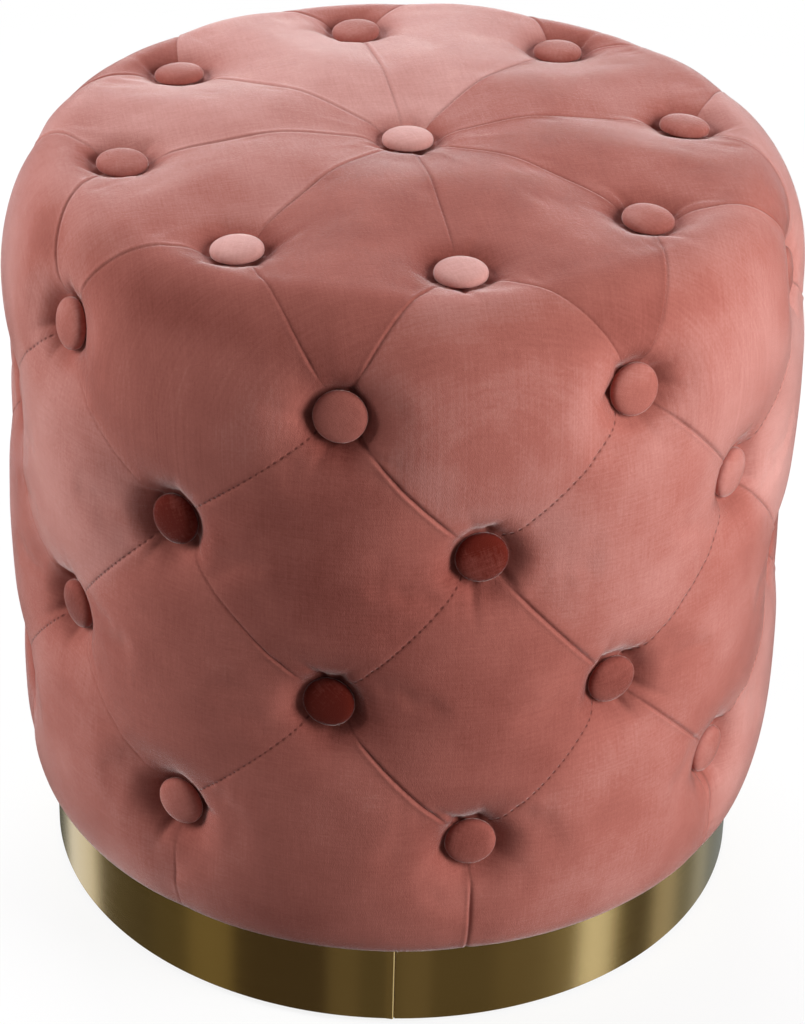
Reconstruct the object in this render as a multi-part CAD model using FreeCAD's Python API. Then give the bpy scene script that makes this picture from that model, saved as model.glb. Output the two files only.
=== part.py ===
import FreeCAD
import Part

import math
import os

from FreeCAD import Vector

# A round, button-tufted velvet stool on a low plinth with a brass-coloured steel band.
# Frame: origin on the floor under the middle of the stool, +Z up, front facing -Y. Millimetres, degrees.
# From the inside out: a drum of two boards, posts and a thin bent wall, foam round it and over it, and
# a quilted velvet cover. Twines tie the seat's buttons through the seat board; the side's buttons are
# sewn to the cover.

UP = Vector(0, 0, 1)
ORIGIN = Vector(0, 0, 0)

# Outline of the cover, as its puffs fill it
body_radius = 195.0
crown_height = 401.0
crown_rise = 3.5
shoulder_width = 39.0
shoulder_drop = 72.0
skirt_width = 14.0
skirt_rise = 64.0

# Tufting: a ring on the seat and four staggered rows down the side
tufts_round = 8
seat_ring_inset = 59.0
top_row_drop = 54.0
bottom_row_rise = 67.5
row_shares = [0.0, 0.315, 0.663, 1.0]
side_tuft_depth = 13.0
seat_tuft_depth = 10.0
pleat_depth = 3.0
hem_depth = 0.6
dimple_tightness = 2.7
crease_tightness = 3.0
strips_per_pleat = 5
chords_per_rib = 6

# Covered buttons, each in a pocket at the bottom of its tuft
button_radius = 12.7
button_rim = 1.8
button_crown = 4.3
button_bend = 0.62
button_sides = 12
button_gap = 0.3
pocket_drop = 1.0
pocket_clearance = 0.5
pocket_reach = 30.0

# Twines from the seat's buttons to the toggles that hold them under the seat board
twine_width = 1.6
twine_clearance = 0.3
toggle_length = 30.0
toggle_width = 6.0
toggle_thickness = 4.0
toggle_clearance = 0.2

# Cover and padding
cover_least = 4.0
hem_thickness = 1.2
hem_turn_in = 32.0
padding_gap = 0.3
side_foam_thickness = 20.0
seat_foam_thickness = 60.0
foam_bevel = 14.0

# Drum
base_board_thickness = 12.0
seat_board_thickness = 15.0
drum_wall_thickness = 3.0
post_width = 34.0
post_thickness = 22.0
post_inset = 3.0
board_clearance = 0.2

# Plinth
glide_height = 2.4
glide_radius = 9.0
glide_sides = 12
glides_round = 4
dust_cover_thickness = 0.6
dust_cover_inset = 6.0
plinth_height = 45.0
plinth_wall = 24.0
band_setback = 17.0
band_thickness = 0.8
band_seam_gap = 0.6
band_seam_angle = -10.6

# Heights that follow from the sizes above
dust_cover_top = glide_height + dust_cover_thickness
plinth_top = dust_cover_top + plinth_height
base_board_bottom = plinth_top + hem_thickness
base_board_top = base_board_bottom + base_board_thickness
shoulder_top = crown_height - crown_rise
seat_foam_top = shoulder_top - seat_tuft_depth - pocket_drop - cover_least
seat_foam_bottom = seat_foam_top - seat_foam_thickness
seat_board_top = seat_foam_bottom - padding_gap
seat_board_bottom = seat_board_top - seat_board_thickness

# Radii that follow from the sizes above
cavity_radius = body_radius - side_tuft_depth - pocket_drop - cover_least
foam_radius = cavity_radius - padding_gap
wall_radius = foam_radius - side_foam_thickness - padding_gap
board_radius = wall_radius - drum_wall_thickness - board_clearance
post_circle = board_radius - post_inset - post_thickness / 2
band_radius = body_radius - band_setback
plinth_radius = band_radius - band_thickness
pocket_radius = button_radius + pocket_clearance
tuft_pitch = 360.0 / tufts_round

# The meridian of the cover is kept as this many steps of equal length
outline_steps = 800


def polar(radius, angle, height):
    """A point at a radius and height, at an angle in degrees from the front towards +X."""
    turn = math.radians(angle)
    return Vector(radius * math.sin(turn), -radius * math.cos(turn), height)


def disc(radius, bottom, top):
    return Part.makeCylinder(radius, top - bottom, Vector(0, 0, bottom), UP)


def ring(outer, inner, bottom, top):
    return disc(outer, bottom, top).cut(disc(inner, bottom, top))


def bevelled_disc(radius, bottom, top, bevel):
    """A disc whose upper edge is cut off at 45 degrees."""
    edge = Part.makeCone(radius, radius - bevel, bevel, Vector(0, 0, top - bevel), UP)
    return disc(radius, bottom, top - bevel).fuse(edge).removeSplitter()


def block(length, width, bottom, top, radius, angle):
    """An upright block centred at a radius and angle, its length square to the radius."""
    corner = Vector(-length / 2, -radius - width / 2, bottom)
    return Part.makeBox(length, width, top - bottom, corner).rotated(ORIGIN, UP, angle)


def quarter_ellipse(centre, width, height, start, end):
    """A quarter of an ellipse in the XZ plane, from one angle to another in degrees."""
    steps = 8
    points = []
    for step in range(steps + 1):
        turn = math.radians(start + (end - start) * step / steps)
        points.append(Vector(centre.x + width * math.cos(turn), 0, centre.z + height * math.sin(turn)))
    curve = Part.BSplineCurve()
    curve.interpolate(points)
    return curve.toShape()


class Outline:
    """The meridian that the puffs fill, from the middle of the seat down to the hem."""

    def __init__(self):
        flat = body_radius - shoulder_width
        middle = Vector(0, 0, crown_height)
        halfway = Vector(flat / 2, 0, crown_height - crown_rise / 4)
        shoulder = Vector(flat, 0, shoulder_top - shoulder_drop)
        skirt = Vector(body_radius - skirt_width, 0, plinth_top + skirt_rise)
        wire = Part.Wire([
            Part.Arc(middle, halfway, Vector(flat, 0, shoulder_top)).toShape(),
            quarter_ellipse(shoulder, shoulder_width, shoulder_drop, 90, 0),
            Part.makeLine(Vector(body_radius, 0, shoulder.z), Vector(body_radius, 0, skirt.z)),
            quarter_ellipse(skirt, skirt_width, skirt_rise, 0, -90),
        ])
        self.length = wire.Length
        self.points = wire.discretize(Number=outline_steps + 1)
        if self.points[0].z < self.points[-1].z:
            self.points.reverse()

    def station(self, distance):
        """The point and outward normal at a distance along the outline from the middle of the seat."""
        place = min(max(distance / self.length, 0.0), 1.0) * outline_steps
        index = min(int(place), outline_steps - 1)
        point = self.points[index] + (self.points[index + 1] - self.points[index]) * (place - index)
        along = self.points[min(index + 4, outline_steps)] - self.points[max(index - 3, 0)]
        along.normalize()
        return point, Vector(-along.z, 0, along.x)

    def first(self, passed):
        """The distance of the first point for which passed is true."""
        for index, point in enumerate(self.points):
            if passed(point):
                return index * self.length / outline_steps
        return self.length


outline = Outline()


class Tuft:
    """One button's place on the cover: how far along the outline, at which angle and how deep."""

    def __init__(self, distance, angle, depth):
        self.distance = distance
        self.angle = angle
        self.depth = depth

    def turned(self, turns):
        return Tuft(self.distance, self.angle + 360 * turns, self.depth)

    def spot(self):
        return self.distance, self.angle

    def facing(self):
        """The direction in which the button looks out."""
        normal = outline.station(self.distance)[1]
        turn = math.radians(self.angle)
        return Vector(normal.x * math.sin(turn), -normal.x * math.cos(turn), normal.z)

    def floor(self):
        """The middle of the pocket's floor."""
        return on_cover(self.distance, self.angle, self.depth + pocket_drop)

    def button_base(self):
        return self.floor() + self.facing() * button_gap


def on_cover(distance, angle, depth):
    """A point of the cover, its depth measured in from the outline along the normal."""
    point, normal = outline.station(distance)
    inner = point - normal * depth
    return polar(inner.x, angle, inner.z)


def seat_ring_tufts():
    radius = body_radius - seat_ring_inset
    distance = outline.first(lambda point: point.x >= radius)
    return [Tuft(distance, k * tuft_pitch, seat_tuft_depth) for k in range(tufts_round)]


def side_row_tufts(row):
    """The tufts of a side row, from 0 at the top. Even rows stand half a pitch on from the seat's."""
    top = crown_height - top_row_drop
    height = top + (plinth_top + bottom_row_rise - top) * row_shares[row]
    flat = body_radius - shoulder_width
    distance = outline.first(lambda point: point.z <= height and point.x > flat)
    start = tuft_pitch / 2 * ((row + 1) % 2)
    return [Tuft(distance, start + k * tuft_pitch, side_tuft_depth) for k in range(tufts_round)]


seat_middle = Tuft(0.0, 0.0, seat_tuft_depth)
seat_ring = seat_ring_tufts()
side_rows = [side_row_tufts(row) for row in range(len(row_shares))]


def between(first, second, share):
    return tuple(a + (b - a) * share for a, b in zip(first, second))


def over_seat(first, second, share):
    """A spot on a pleat that runs straight as seen from above."""
    flat = []
    for distance, angle in (first, second):
        turn = math.radians(angle)
        flat.append((distance * math.cos(turn), distance * math.sin(turn)))
    x, y = between(flat[0], flat[1], share)
    angle = math.degrees(math.atan2(y, x))
    return math.hypot(x, y), angle + 360 * round((second[1] - angle) / 360)


def down_side(first, second, share):
    """A spot on a pleat that runs straight on the unrolled side."""
    return between(first, second, share)


def nearness(share):
    """How near a share of the way is to its ends: 1 at each and 0 halfway."""
    return abs(1 - 2 * share)


def pleat(upper, lower, path):
    """The spots and depths of the pleat between two tufts, both ends included."""
    points = []
    for step in range(strips_per_pleat + 1):
        share = step / strips_per_pleat
        distance, angle = path(upper.spot(), lower.spot(), share)
        line = upper.depth + (lower.depth - upper.depth) * share
        depth = pleat_depth + (line - pleat_depth) * nearness(share) ** dimple_tightness
        points.append((distance, angle, depth))
    return points


def crown(top_depth, bottom_depth, share):
    """How deep the middle of a puff lies at a share of the way from its top to its bottom."""
    line = top_depth + (bottom_depth - top_depth) * share
    return line * nearness(share) ** dimple_tightness


def rib(left, right, crown_depth):
    """The points across a puff from the pleat on its left to the pleat on its right."""
    points = []
    for step in range(chords_per_rib + 1):
        share = step / chords_per_rib
        distance, angle, edge = between(left, right, share)
        depth = crown_depth + (edge - crown_depth) * nearness(share) ** crease_tightness
        points.append(on_cover(distance, angle, depth))
    return points


def facet(*corners):
    return Part.Face(Part.makePolygon(list(corners) + [corners[0]]))


def closed_solid(facets):
    """The solid that facets close in, once their shared edges are joined."""
    shell = Part.makeShell(facets)
    shell.sewShape()
    solid = Part.Solid(Part.Shell(shell.Faces))
    if solid.Volume < 0:
        solid.reverse()
    return solid


def panel(sections):
    """The facets between rows of points, where a row of one point is the tip of a puff."""
    facets = []
    for upper, lower in zip(sections, sections[1:]):
        for step in range(chords_per_rib):
            if len(upper) == 1:
                facets.append(facet(upper[0], lower[step], lower[step + 1]))
            elif len(lower) == 1:
                facets.append(facet(upper[step], lower[0], upper[step + 1]))
            elif step < chords_per_rib / 2:
                facets.append(facet(upper[step], lower[step], upper[step + 1]))
                facets.append(facet(upper[step + 1], lower[step], lower[step + 1]))
            else:
                facets.append(facet(upper[step], lower[step], lower[step + 1]))
                facets.append(facet(upper[step], lower[step + 1], upper[step + 1]))
    return facets


def puff(top, left, right, bottom, upper_path, lower_path):
    """One diamond of the cover between four tufts."""
    lefts = pleat(top, left, upper_path) + pleat(left, bottom, lower_path)[1:]
    rights = pleat(top, right, upper_path) + pleat(right, bottom, lower_path)[1:]
    last = 2 * strips_per_pleat
    sections = [[on_cover(*lefts[0])]]
    for step in range(1, last):
        sections.append(rib(lefts[step], rights[step], crown(top.depth, bottom.depth, step / last)))
    sections.append([on_cover(*lefts[last])])
    return panel(sections)


def skirt_puff(top, left, right):
    """A puff of the lowest row: a triangle under the tuft above it, then two upright pleats to the hem."""
    lefts = pleat(top, left, down_side)
    rights = pleat(top, right, down_side)
    sections = [[on_cover(*lefts[0])]]
    for step in range(1, strips_per_pleat + 1):
        sections.append(rib(lefts[step], rights[step], crown(top.depth, 0, step / strips_per_pleat / 2)))
    for step in range(1, strips_per_pleat + 1):
        share = step / strips_per_pleat
        distance = left.distance + (outline.length - left.distance) * share
        edge = hem_depth + (left.depth - hem_depth) * (1 - share) ** 2
        sections.append(rib((distance, left.angle, edge), (distance, right.angle, edge), hem_depth * share))
    for point in sections[-1]:
        point.z = plinth_top
    return panel(sections), sections[-1]


def around(row, index):
    """A tuft of a closed row, its angle carried on where the row starts again."""
    return row[index % tufts_round].turned(index // tufts_round)


def tufted_form():
    """The velvet's outer form, filled: diamonds from the middle of the seat to the hem, flat underneath."""
    first, second, third, fourth = side_rows
    facets = []
    hem = []
    for k in range(tufts_round):
        upper, lower = around(seat_ring, k), around(second, k)
        before, after = around(first, k - 1), around(first, k)
        facets += puff(seat_middle, upper, around(seat_ring, k + 1), after, over_seat, over_seat)
        facets += puff(upper, before, after, lower, over_seat, down_side)
        facets += puff(after, lower, around(second, k + 1), around(third, k), down_side, down_side)
        before, after = around(third, k - 1), around(third, k)
        facets += puff(lower, before, after, around(fourth, k), down_side, down_side)
        skirt, hem_points = skirt_puff(after, around(fourth, k), around(fourth, k + 1))
        facets += skirt
        hem += hem_points[:-1]
    return closed_solid(facets + [facet(*hem)])


def polygon(centre, direction, radius, sides, height=0.0):
    """The corners of a regular polygon that faces a direction, a height out from its centre."""
    turned = FreeCAD.Rotation(UP, direction)
    corners = []
    for side in range(sides):
        turn = 2 * math.pi * side / sides
        corner = Vector(radius * math.cos(turn), radius * math.sin(turn), height)
        corners.append(centre + turned.multVec(corner))
    return corners


def prism(centre, direction, radius, sides, length):
    """A regular prism round a circle of that radius, standing on its centre."""
    reach = radius / math.cos(math.pi / sides)
    return facet(*polygon(centre, direction, reach, sides)).extrude(direction * length)


def covered_button(tuft):
    """A velvet-covered button: a flat back, a short rim and a domed face."""
    base = tuft.button_base()
    facing = tuft.facing()
    bend_radius = button_radius * button_bend
    bend_height = button_rim + button_crown * (1 - button_bend ** 2)
    levels = [
        polygon(base, facing, button_radius, button_sides),
        polygon(base, facing, button_radius, button_sides, button_rim),
        polygon(base, facing, bend_radius, button_sides, bend_height),
    ]
    top = base + facing * (button_rim + button_crown)
    facets = [facet(*levels[0])]
    for side in range(button_sides):
        after = (side + 1) % button_sides
        for lower, upper in zip(levels, levels[1:]):
            facets.append(facet(lower[side], lower[after], upper[after], upper[side]))
        facets.append(facet(levels[-1][side], levels[-1][after], top))
    return closed_solid(facets)


def twine(tuft, width):
    """The straight run of a seat button's twine, down to the toggle under the seat board."""
    start = tuft.floor()
    bottom = seat_board_bottom - toggle_clearance
    corner = Vector(start.x - width / 2, start.y - width / 2, bottom)
    return Part.makeBox(width, width, start.z - bottom, corner)


def toggle(tuft):
    """The short bar that a seat button's twine is tied round, square to the stool's radius."""
    start = tuft.floor()
    top = seat_board_bottom - toggle_clearance
    radius = math.hypot(start.x, start.y)
    return block(toggle_length, toggle_width, top - toggle_thickness, top, radius, tuft.angle)


def write(name, shapes):
    """Export one node: a single piece, or a group of like pieces as separate solids."""
    shape = Part.makeCompound(shapes) if isinstance(shapes, list) else shapes
    shape.exportStep(os.path.join("parts", name + ".step"))
    print(name, len(shape.Solids), "solids", round(shape.Volume / 1000.0, 2), "cm3", shape.isValid())


os.makedirs("parts", exist_ok=True)

seat_tufts = [seat_middle] + seat_ring
side_tufts = [tuft for row in side_rows for tuft in row]
twines = [twine(tuft, twine_width) for tuft in seat_tufts]
channels = [twine(tuft, twine_width + 2 * twine_clearance) for tuft in seat_tufts]

# Plinth, from the glides up
glide_circle = plinth_radius - plinth_wall / 2
glide_pitch = 360.0 / glides_round
glide_spots = [polar(glide_circle, (k + 0.5) * glide_pitch, 0) for k in range(glides_round)]
write("glides", [prism(spot, UP, glide_radius, glide_sides, glide_height) for spot in glide_spots])
write("dust_cover", disc(plinth_radius - dust_cover_inset, glide_height, dust_cover_top))
write("plinth_ring", ring(plinth_radius, plinth_radius - plinth_wall, dust_cover_top, plinth_top))
band = ring(band_radius, plinth_radius, dust_cover_top, plinth_top)
seam = block(band_seam_gap, 4 * band_thickness, dust_cover_top, plinth_top, band_radius, band_seam_angle)
write("trim_band", band.cut(seam))

# Drum
post_angles = [(k + 0.5) * tuft_pitch for k in range(tufts_round)]
write("base_board", disc(board_radius, base_board_bottom, base_board_top))
write("frame_posts", [
    block(post_width, post_thickness, base_board_top, seat_board_bottom, post_circle, angle)
    for angle in post_angles
])
write("seat_board", disc(board_radius, seat_board_bottom, seat_board_top).cut(channels))
write("drum_wall", ring(wall_radius, wall_radius - drum_wall_thickness, base_board_bottom, seat_board_top))

# Padding
write("side_foam", ring(foam_radius, wall_radius + padding_gap, base_board_bottom, seat_board_top))
write("seat_foam", bevelled_disc(foam_radius, seat_foam_bottom, seat_foam_top, foam_bevel).cut(channels))

# Cover, its hem turned in under the base board
cavity = bevelled_disc(cavity_radius, base_board_bottom, seat_foam_top + padding_gap, foam_bevel)
hem_opening = disc(cavity_radius - hem_turn_in, dust_cover_top, base_board_bottom)
pockets = [
    prism(tuft.floor(), tuft.facing(), pocket_radius, button_sides, pocket_reach)
    for tuft in seat_tufts + side_tufts
]
write("velvet_cover", tufted_form().cut([cavity, hem_opening] + pockets + channels))

# Buttons, with the seat's twines and toggles
write("seat_buttons", [covered_button(tuft) for tuft in seat_tufts])
for number, row in enumerate(side_rows, start=1):
    write("side_row_%d_buttons" % number, [covered_button(tuft) for tuft in row])
write("seat_twines", twines)
write("twine_toggles", [toggle(tuft) for tuft in seat_tufts])
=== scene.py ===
"""Looks of a round, button-tufted velvet stool on a low plinth with a brass-coloured band.

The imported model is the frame. The quilted cover, its buttons and the metal band are modelled again over their
solids, and every other piece keeps its solid and gets a finish. Lengths are in metres, angles in degrees from
the front (-Y) towards +X. A spot is a distance down the cover's meridian and an angle.
"""

import logging
import math
from collections.abc import Callable
from dataclasses import dataclass, field
from enum import Enum

import bpy
import numpy as np
from mathutils import Matrix, Vector
from mathutils.kdtree import KDTree


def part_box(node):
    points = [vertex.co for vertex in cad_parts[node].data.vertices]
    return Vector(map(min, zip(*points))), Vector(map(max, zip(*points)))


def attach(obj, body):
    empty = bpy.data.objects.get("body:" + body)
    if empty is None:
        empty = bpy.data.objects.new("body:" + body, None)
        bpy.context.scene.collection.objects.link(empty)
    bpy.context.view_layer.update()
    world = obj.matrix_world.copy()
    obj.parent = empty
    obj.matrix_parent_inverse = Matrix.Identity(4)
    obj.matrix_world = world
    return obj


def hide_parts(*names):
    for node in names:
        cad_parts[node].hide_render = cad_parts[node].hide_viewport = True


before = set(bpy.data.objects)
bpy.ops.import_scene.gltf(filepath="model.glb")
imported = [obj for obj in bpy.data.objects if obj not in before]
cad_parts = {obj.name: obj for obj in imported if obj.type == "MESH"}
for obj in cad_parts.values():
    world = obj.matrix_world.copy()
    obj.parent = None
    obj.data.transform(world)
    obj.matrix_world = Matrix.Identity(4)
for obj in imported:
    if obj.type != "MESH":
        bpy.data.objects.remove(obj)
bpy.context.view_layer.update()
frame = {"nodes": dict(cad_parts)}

logging.basicConfig(level=logging.INFO, format="%(name)s %(relativeCreated)6d ms: %(message)s")
log = logging.getLogger("stool")

Object = bpy.types.Object
Material = bpy.types.Material
Socket = bpy.types.NodeSocket
Colour = tuple[float, float, float, float]
Triple = tuple[float, float, float]
Spot = tuple[float, float]


# Small helpers


def deselect() -> None:
    """Go to object mode with nothing selected."""
    if bpy.context.mode != "OBJECT":
        bpy.ops.object.mode_set(mode="OBJECT")
    bpy.ops.object.select_all(action="DESELECT")


def take(obj: Object) -> None:
    """Select one object alone and make it active.

    Args:
        obj: The object.
    """
    deselect()
    obj.select_set(True)
    bpy.context.view_layer.objects.active = obj


def apply_modifiers(obj: Object) -> None:
    """Apply every modifier of an object, in order.

    Args:
        obj: The object.
    """
    take(obj)
    for modifier in list(obj.modifiers):
        bpy.ops.object.modifier_apply(modifier=modifier.name)


def pick(obj: Object, kind: str, chosen: Callable[[object], bool]) -> None:
    """Enter edit mode with some edges or faces of the active object selected.

    Args:
        obj: The active object, in object mode.
        kind: "EDGE" or "FACE".
        chosen: Tells whether an edge or a face is selected.
    """
    bpy.ops.object.mode_set(mode="EDIT")
    bpy.ops.mesh.select_mode(type=kind)
    bpy.ops.mesh.select_all(action="DESELECT")
    bpy.ops.object.mode_set(mode="OBJECT")
    for element in obj.data.edges if kind == "EDGE" else obj.data.polygons:
        element.select = chosen(element)
    bpy.ops.object.mode_set(mode="EDIT")


def polar(radius: float, angle: float, height: float) -> Vector:
    """Return the point at a radius and height, at an angle from the front towards +X."""
    turn = math.radians(angle)
    return Vector((radius * math.sin(turn), -radius * math.cos(turn), height))


def level(point: Vector) -> Vector:
    """Return a point moved to height 0."""
    return Vector((point.x, point.y, 0.0))


def bell(values: np.ndarray, middle: float, width: float, power: float = 2) -> np.ndarray:
    """Return a bell curve: 1 at the middle, falling off over the width."""
    return np.exp(-((values - middle) / width) ** power)


# Shader pieces


class Nodes:
    """A node tree under construction, with short ways to add and link its nodes."""

    def __init__(self, tree: bpy.types.NodeTree) -> None:
        """Work on a node tree."""
        self.tree = tree

    def node(self, kind: str, **settings: object) -> bpy.types.Node:
        """Add a node.

        Args:
            kind: The node's type name.
            settings: Its attributes to set.

        Returns:
            The new node.
        """
        made = self.tree.nodes.new(kind)
        for key, value in settings.items():
            setattr(made, key, value)
        return made

    def feed(self, slot: Socket, value: object) -> None:
        """Link an input to another node's output, or set it to a plain value.

        Args:
            slot: The input.
            value: A socket or a plain value.
        """
        if isinstance(value, Socket):
            self.tree.links.new(value, slot)
        else:
            slot.default_value = value

    def math(self, operation: str, first: object, second: object) -> Socket:
        """Add a Math node.

        Args:
            operation: The operation's name.
            first: A socket or a number.
            second: A socket or a number.

        Returns:
            The value socket.
        """
        made = self.node("ShaderNodeMath", operation=operation)
        self.feed(made.inputs[0], first)
        self.feed(made.inputs[1], second)
        return made.outputs[0]

    def about(self, value: Socket, middle: float, strength: object) -> Socket:
        """Return how far a value is from its middle, times a strength."""
        return self.math("MULTIPLY", self.math("SUBTRACT", value, middle), strength)

    def noise(self, vector: Socket, scale: object, detail: float = 2.0) -> Socket:
        """Add a Noise texture.

        Args:
            vector: Where it is read.
            scale: A socket or a number.
            detail: Its detail.

        Returns:
            The value socket, between 0 and 1.
        """
        made = self.node("ShaderNodeTexNoise")
        for title, value in (("Vector", vector), ("Scale", scale), ("Detail", detail)):
            self.feed(made.inputs[title], value)
        return made.outputs["Fac"]

    def scaled(self, vector: Socket, scale: Triple) -> Socket:
        """Return a vector scaled along its axes.

        Args:
            vector: The vector socket.
            scale: The scale along each axis.

        Returns:
            The vector socket.
        """
        made = self.node("ShaderNodeMapping")
        self.feed(made.inputs["Scale"], scale)
        self.feed(made.inputs["Vector"], vector)
        return made.outputs["Vector"]

    def ramp(self, value: Socket, low: float, high: float, start: float = 0.0, end: float = 1.0) -> Socket:
        """Spread a value between two limits over a range, clamped.

        Args:
            value: The value socket.
            low: What becomes the start.
            high: What becomes the end.
            start: The range's start.
            end: The range's end.

        Returns:
            The value socket.
        """
        made = self.node("ShaderNodeMapRange", clamp=True)
        limits = {"Value": value, "From Min": low, "From Max": high, "To Min": start, "To Max": end}
        for title, given in limits.items():
            self.feed(made.inputs[title], given)
        return made.outputs["Result"]

    def mix(self, factor: object, first: object, second: object) -> Socket:
        """Mix two colours.

        Args:
            factor: The factor, a socket or a number.
            first: The colour at 0, a socket or a value.
            second: The colour at 1, a socket or a value.

        Returns:
            The colour socket.
        """
        made = self.node("ShaderNodeMix", data_type="RGBA")
        for key, value in (("Factor", factor), (6, first), (7, second)):
            self.feed(made.inputs[key], value)
        return made.outputs[2]

    def attribute(self, name: str) -> bpy.types.Node:
        """Read one of the mesh's attributes."""
        return self.node("ShaderNodeAttribute", attribute_name=name)

    def axes(self, vector: Socket) -> tuple[Socket, ...]:
        """Return a vector's three values.

        Args:
            vector: The vector socket.

        Returns:
            The sockets of X, Y and Z.
        """
        made = self.node("ShaderNodeSeparateXYZ")
        self.feed(made.inputs[0], vector)
        return tuple(made.outputs)


class Shader(Nodes):
    """A material under construction."""

    def __init__(self, name: str) -> None:
        """Start a node material with a Principled shader.

        Args:
            name: The material's name.
        """
        self.material = bpy.data.materials.new(name)
        self.material.use_nodes = True
        super().__init__(self.material.node_tree)
        self.principled = self.tree.nodes["Principled BSDF"]

    def place(self, scale: Triple = (1.0, 1.0, 1.0)) -> Socket:
        """Return the object's coordinates, scaled along their axes."""
        return self.scaled(self.node("ShaderNodeTexCoord").outputs["Object"], scale)

    def group(self, tree: bpy.types.NodeTree, **values: object) -> dict[str, Socket]:
        """Place a shader node group.

        Args:
            tree: The group.
            values: What its inputs get, with underscores for the spaces in their names.

        Returns:
            Its outputs by name.
        """
        made = self.node("ShaderNodeGroup", node_tree=tree)
        for key, value in values.items():
            self.feed(made.inputs[key.replace("_", " ")], value)
        return {output.name: output for output in made.outputs}

    def set(self, **values: object) -> None:
        """Feed the Principled shader's own sockets, named with underscores for the spaces."""
        for key, value in values.items():
            self.feed(self.principled.inputs[key.replace("_", " ")], value)

    def bump(self, height: Socket, distance: float) -> None:
        """Feed a height to the shader's normal.

        Args:
            height: The height socket.
            distance: The depth in metres of a height of 1.
        """
        made = self.node("ShaderNodeBump")
        for title, value in (("Strength", 1.0), ("Distance", distance), ("Height", height)):
            self.feed(made.inputs[title], value)
        self.set(Normal=made.outputs["Normal"])

    def surface(self, closure: Socket) -> None:
        """Take another shader than the Principled one."""
        self.tree.nodes.remove(self.principled)
        self.feed(self.tree.nodes["Material Output"].inputs["Surface"], closure)


class Group(Nodes):
    """A shader node group under construction."""

    def __init__(self, name: str, inputs: dict[str, object], outputs: dict[str, str]) -> None:
        """Start a group with named inputs and outputs.

        Args:
            name: The group's name.
            inputs: Each input's default: a float, a colour, or None for a vector.
            outputs: Each output's kind: "Float" or "Color".
        """
        super().__init__(bpy.data.node_groups.new(name, "ShaderNodeTree"))
        for title, default in inputs.items():
            kind = "Vector" if default is None else "Color" if isinstance(default, tuple) else "Float"
            socket = self.tree.interface.new_socket(title, in_out="INPUT", socket_type="NodeSocket" + kind)
            if default is not None:
                socket.default_value = default
        for title, kind in outputs.items():
            self.tree.interface.new_socket(title, in_out="OUTPUT", socket_type="NodeSocket" + kind)
        self.given = self.node("NodeGroupInput").outputs
        self.result = self.node("NodeGroupOutput").inputs


@dataclass(frozen=True)
class PileTexture:
    """Velvet pile: brushed patches, fine rows of pile and fibres. Scales are in noise cells per metre."""

    fibres: float = 2600.0
    flecks: float = 700.0
    fleck_height: float = 0.6
    rows_down: Triple = (1500.0, 45.0, 1.0)
    rows_across: Triple = (60.0, 1100.0, 1.0)
    patch_limits: tuple[float, float] = (0.32, 0.68)

    def make(self) -> bpy.types.NodeTree:
        """Build the node group.

        Returns:
            The node group.
        """
        group = Group(
            "velvet pile",
            {"Place": None, "Rows": None, "Tone": 0.0, "Bare": (0.1, 0.02, 0.01, 1.0),
             "Middle": (0.4, 0.1, 0.1, 1.0), "Brushed": (0.7, 0.3, 0.3, 1.0),
             "Patch size": 0.03, "Patchiness": 0.15, "Row strength": 0.13, "Fleck strength": 0.15},
            {"Colour": "Color", "Height": "Float"},
        )
        given = group.given
        patch = group.noise(given["Place"], group.math("DIVIDE", 1.0, given["Patch size"]), 3.0)
        fibres = group.noise(given["Place"], self.fibres)
        flecks = group.noise(given["Place"], self.flecks, 4.0)
        down, across = (group.noise(group.scaled(given["Rows"], scale), 1.0)
                        for scale in (self.rows_down, self.rows_across))
        rows = group.about(group.math("ADD", down, across), 1.0, given["Row strength"])
        tone = group.about(group.ramp(patch, *self.patch_limits), 0.5, given["Patchiness"])
        fine = group.about(flecks, 0.5, given["Fleck strength"])
        factor = group.math("ADD", group.math("ADD", tone, fine), group.math("ADD", rows, given["Tone"]))
        factor = group.math("ADD", factor, 0.5)
        low = group.mix(group.ramp(factor, 0.0, 0.5), given["Bare"], given["Middle"])
        group.feed(group.result["Colour"], group.mix(group.ramp(factor, 0.5, 1.0), low, given["Brushed"]))
        raised = group.math("MULTIPLY", flecks, self.fleck_height)
        group.feed(group.result["Height"], group.math("ADD", fibres, raised))
        return group.tree


@dataclass(frozen=True)
class GrainTexture:
    """The grain of board, sawn wood, foam and cloth: coarse and fine specks between two colours."""

    fineness: float = 8.0
    coarse_share: float = 0.7
    fine_share: float = 0.3
    spread: float = 0.2

    def make(self) -> bpy.types.NodeTree:
        """Build the node group.

        Returns:
            The node group.
        """
        group = Group(
            "grain",
            {"Place": None, "Dark": (0.3, 0.2, 0.1, 1.0), "Light": (0.6, 0.45, 0.3, 1.0), "Size": 0.01,
             "Contrast": 0.8},
            {"Colour": "Color", "Height": "Float"},
        )
        given = group.given
        coarse = group.noise(given["Place"], group.math("DIVIDE", 1.0, given["Size"]), 6.0)
        fine = group.noise(given["Place"], group.math("DIVIDE", self.fineness, given["Size"]), 4.0)
        both = group.math("ADD", group.math("MULTIPLY", coarse, self.coarse_share),
                          group.math("MULTIPLY", fine, self.fine_share))
        factor = group.ramp(group.about(both, 0.5, given["Contrast"]), -self.spread, self.spread)
        group.feed(group.result["Colour"], group.mix(factor, given["Dark"], given["Light"]))
        group.feed(group.result["Height"], fine)
        return group.tree


# Finishes


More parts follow.
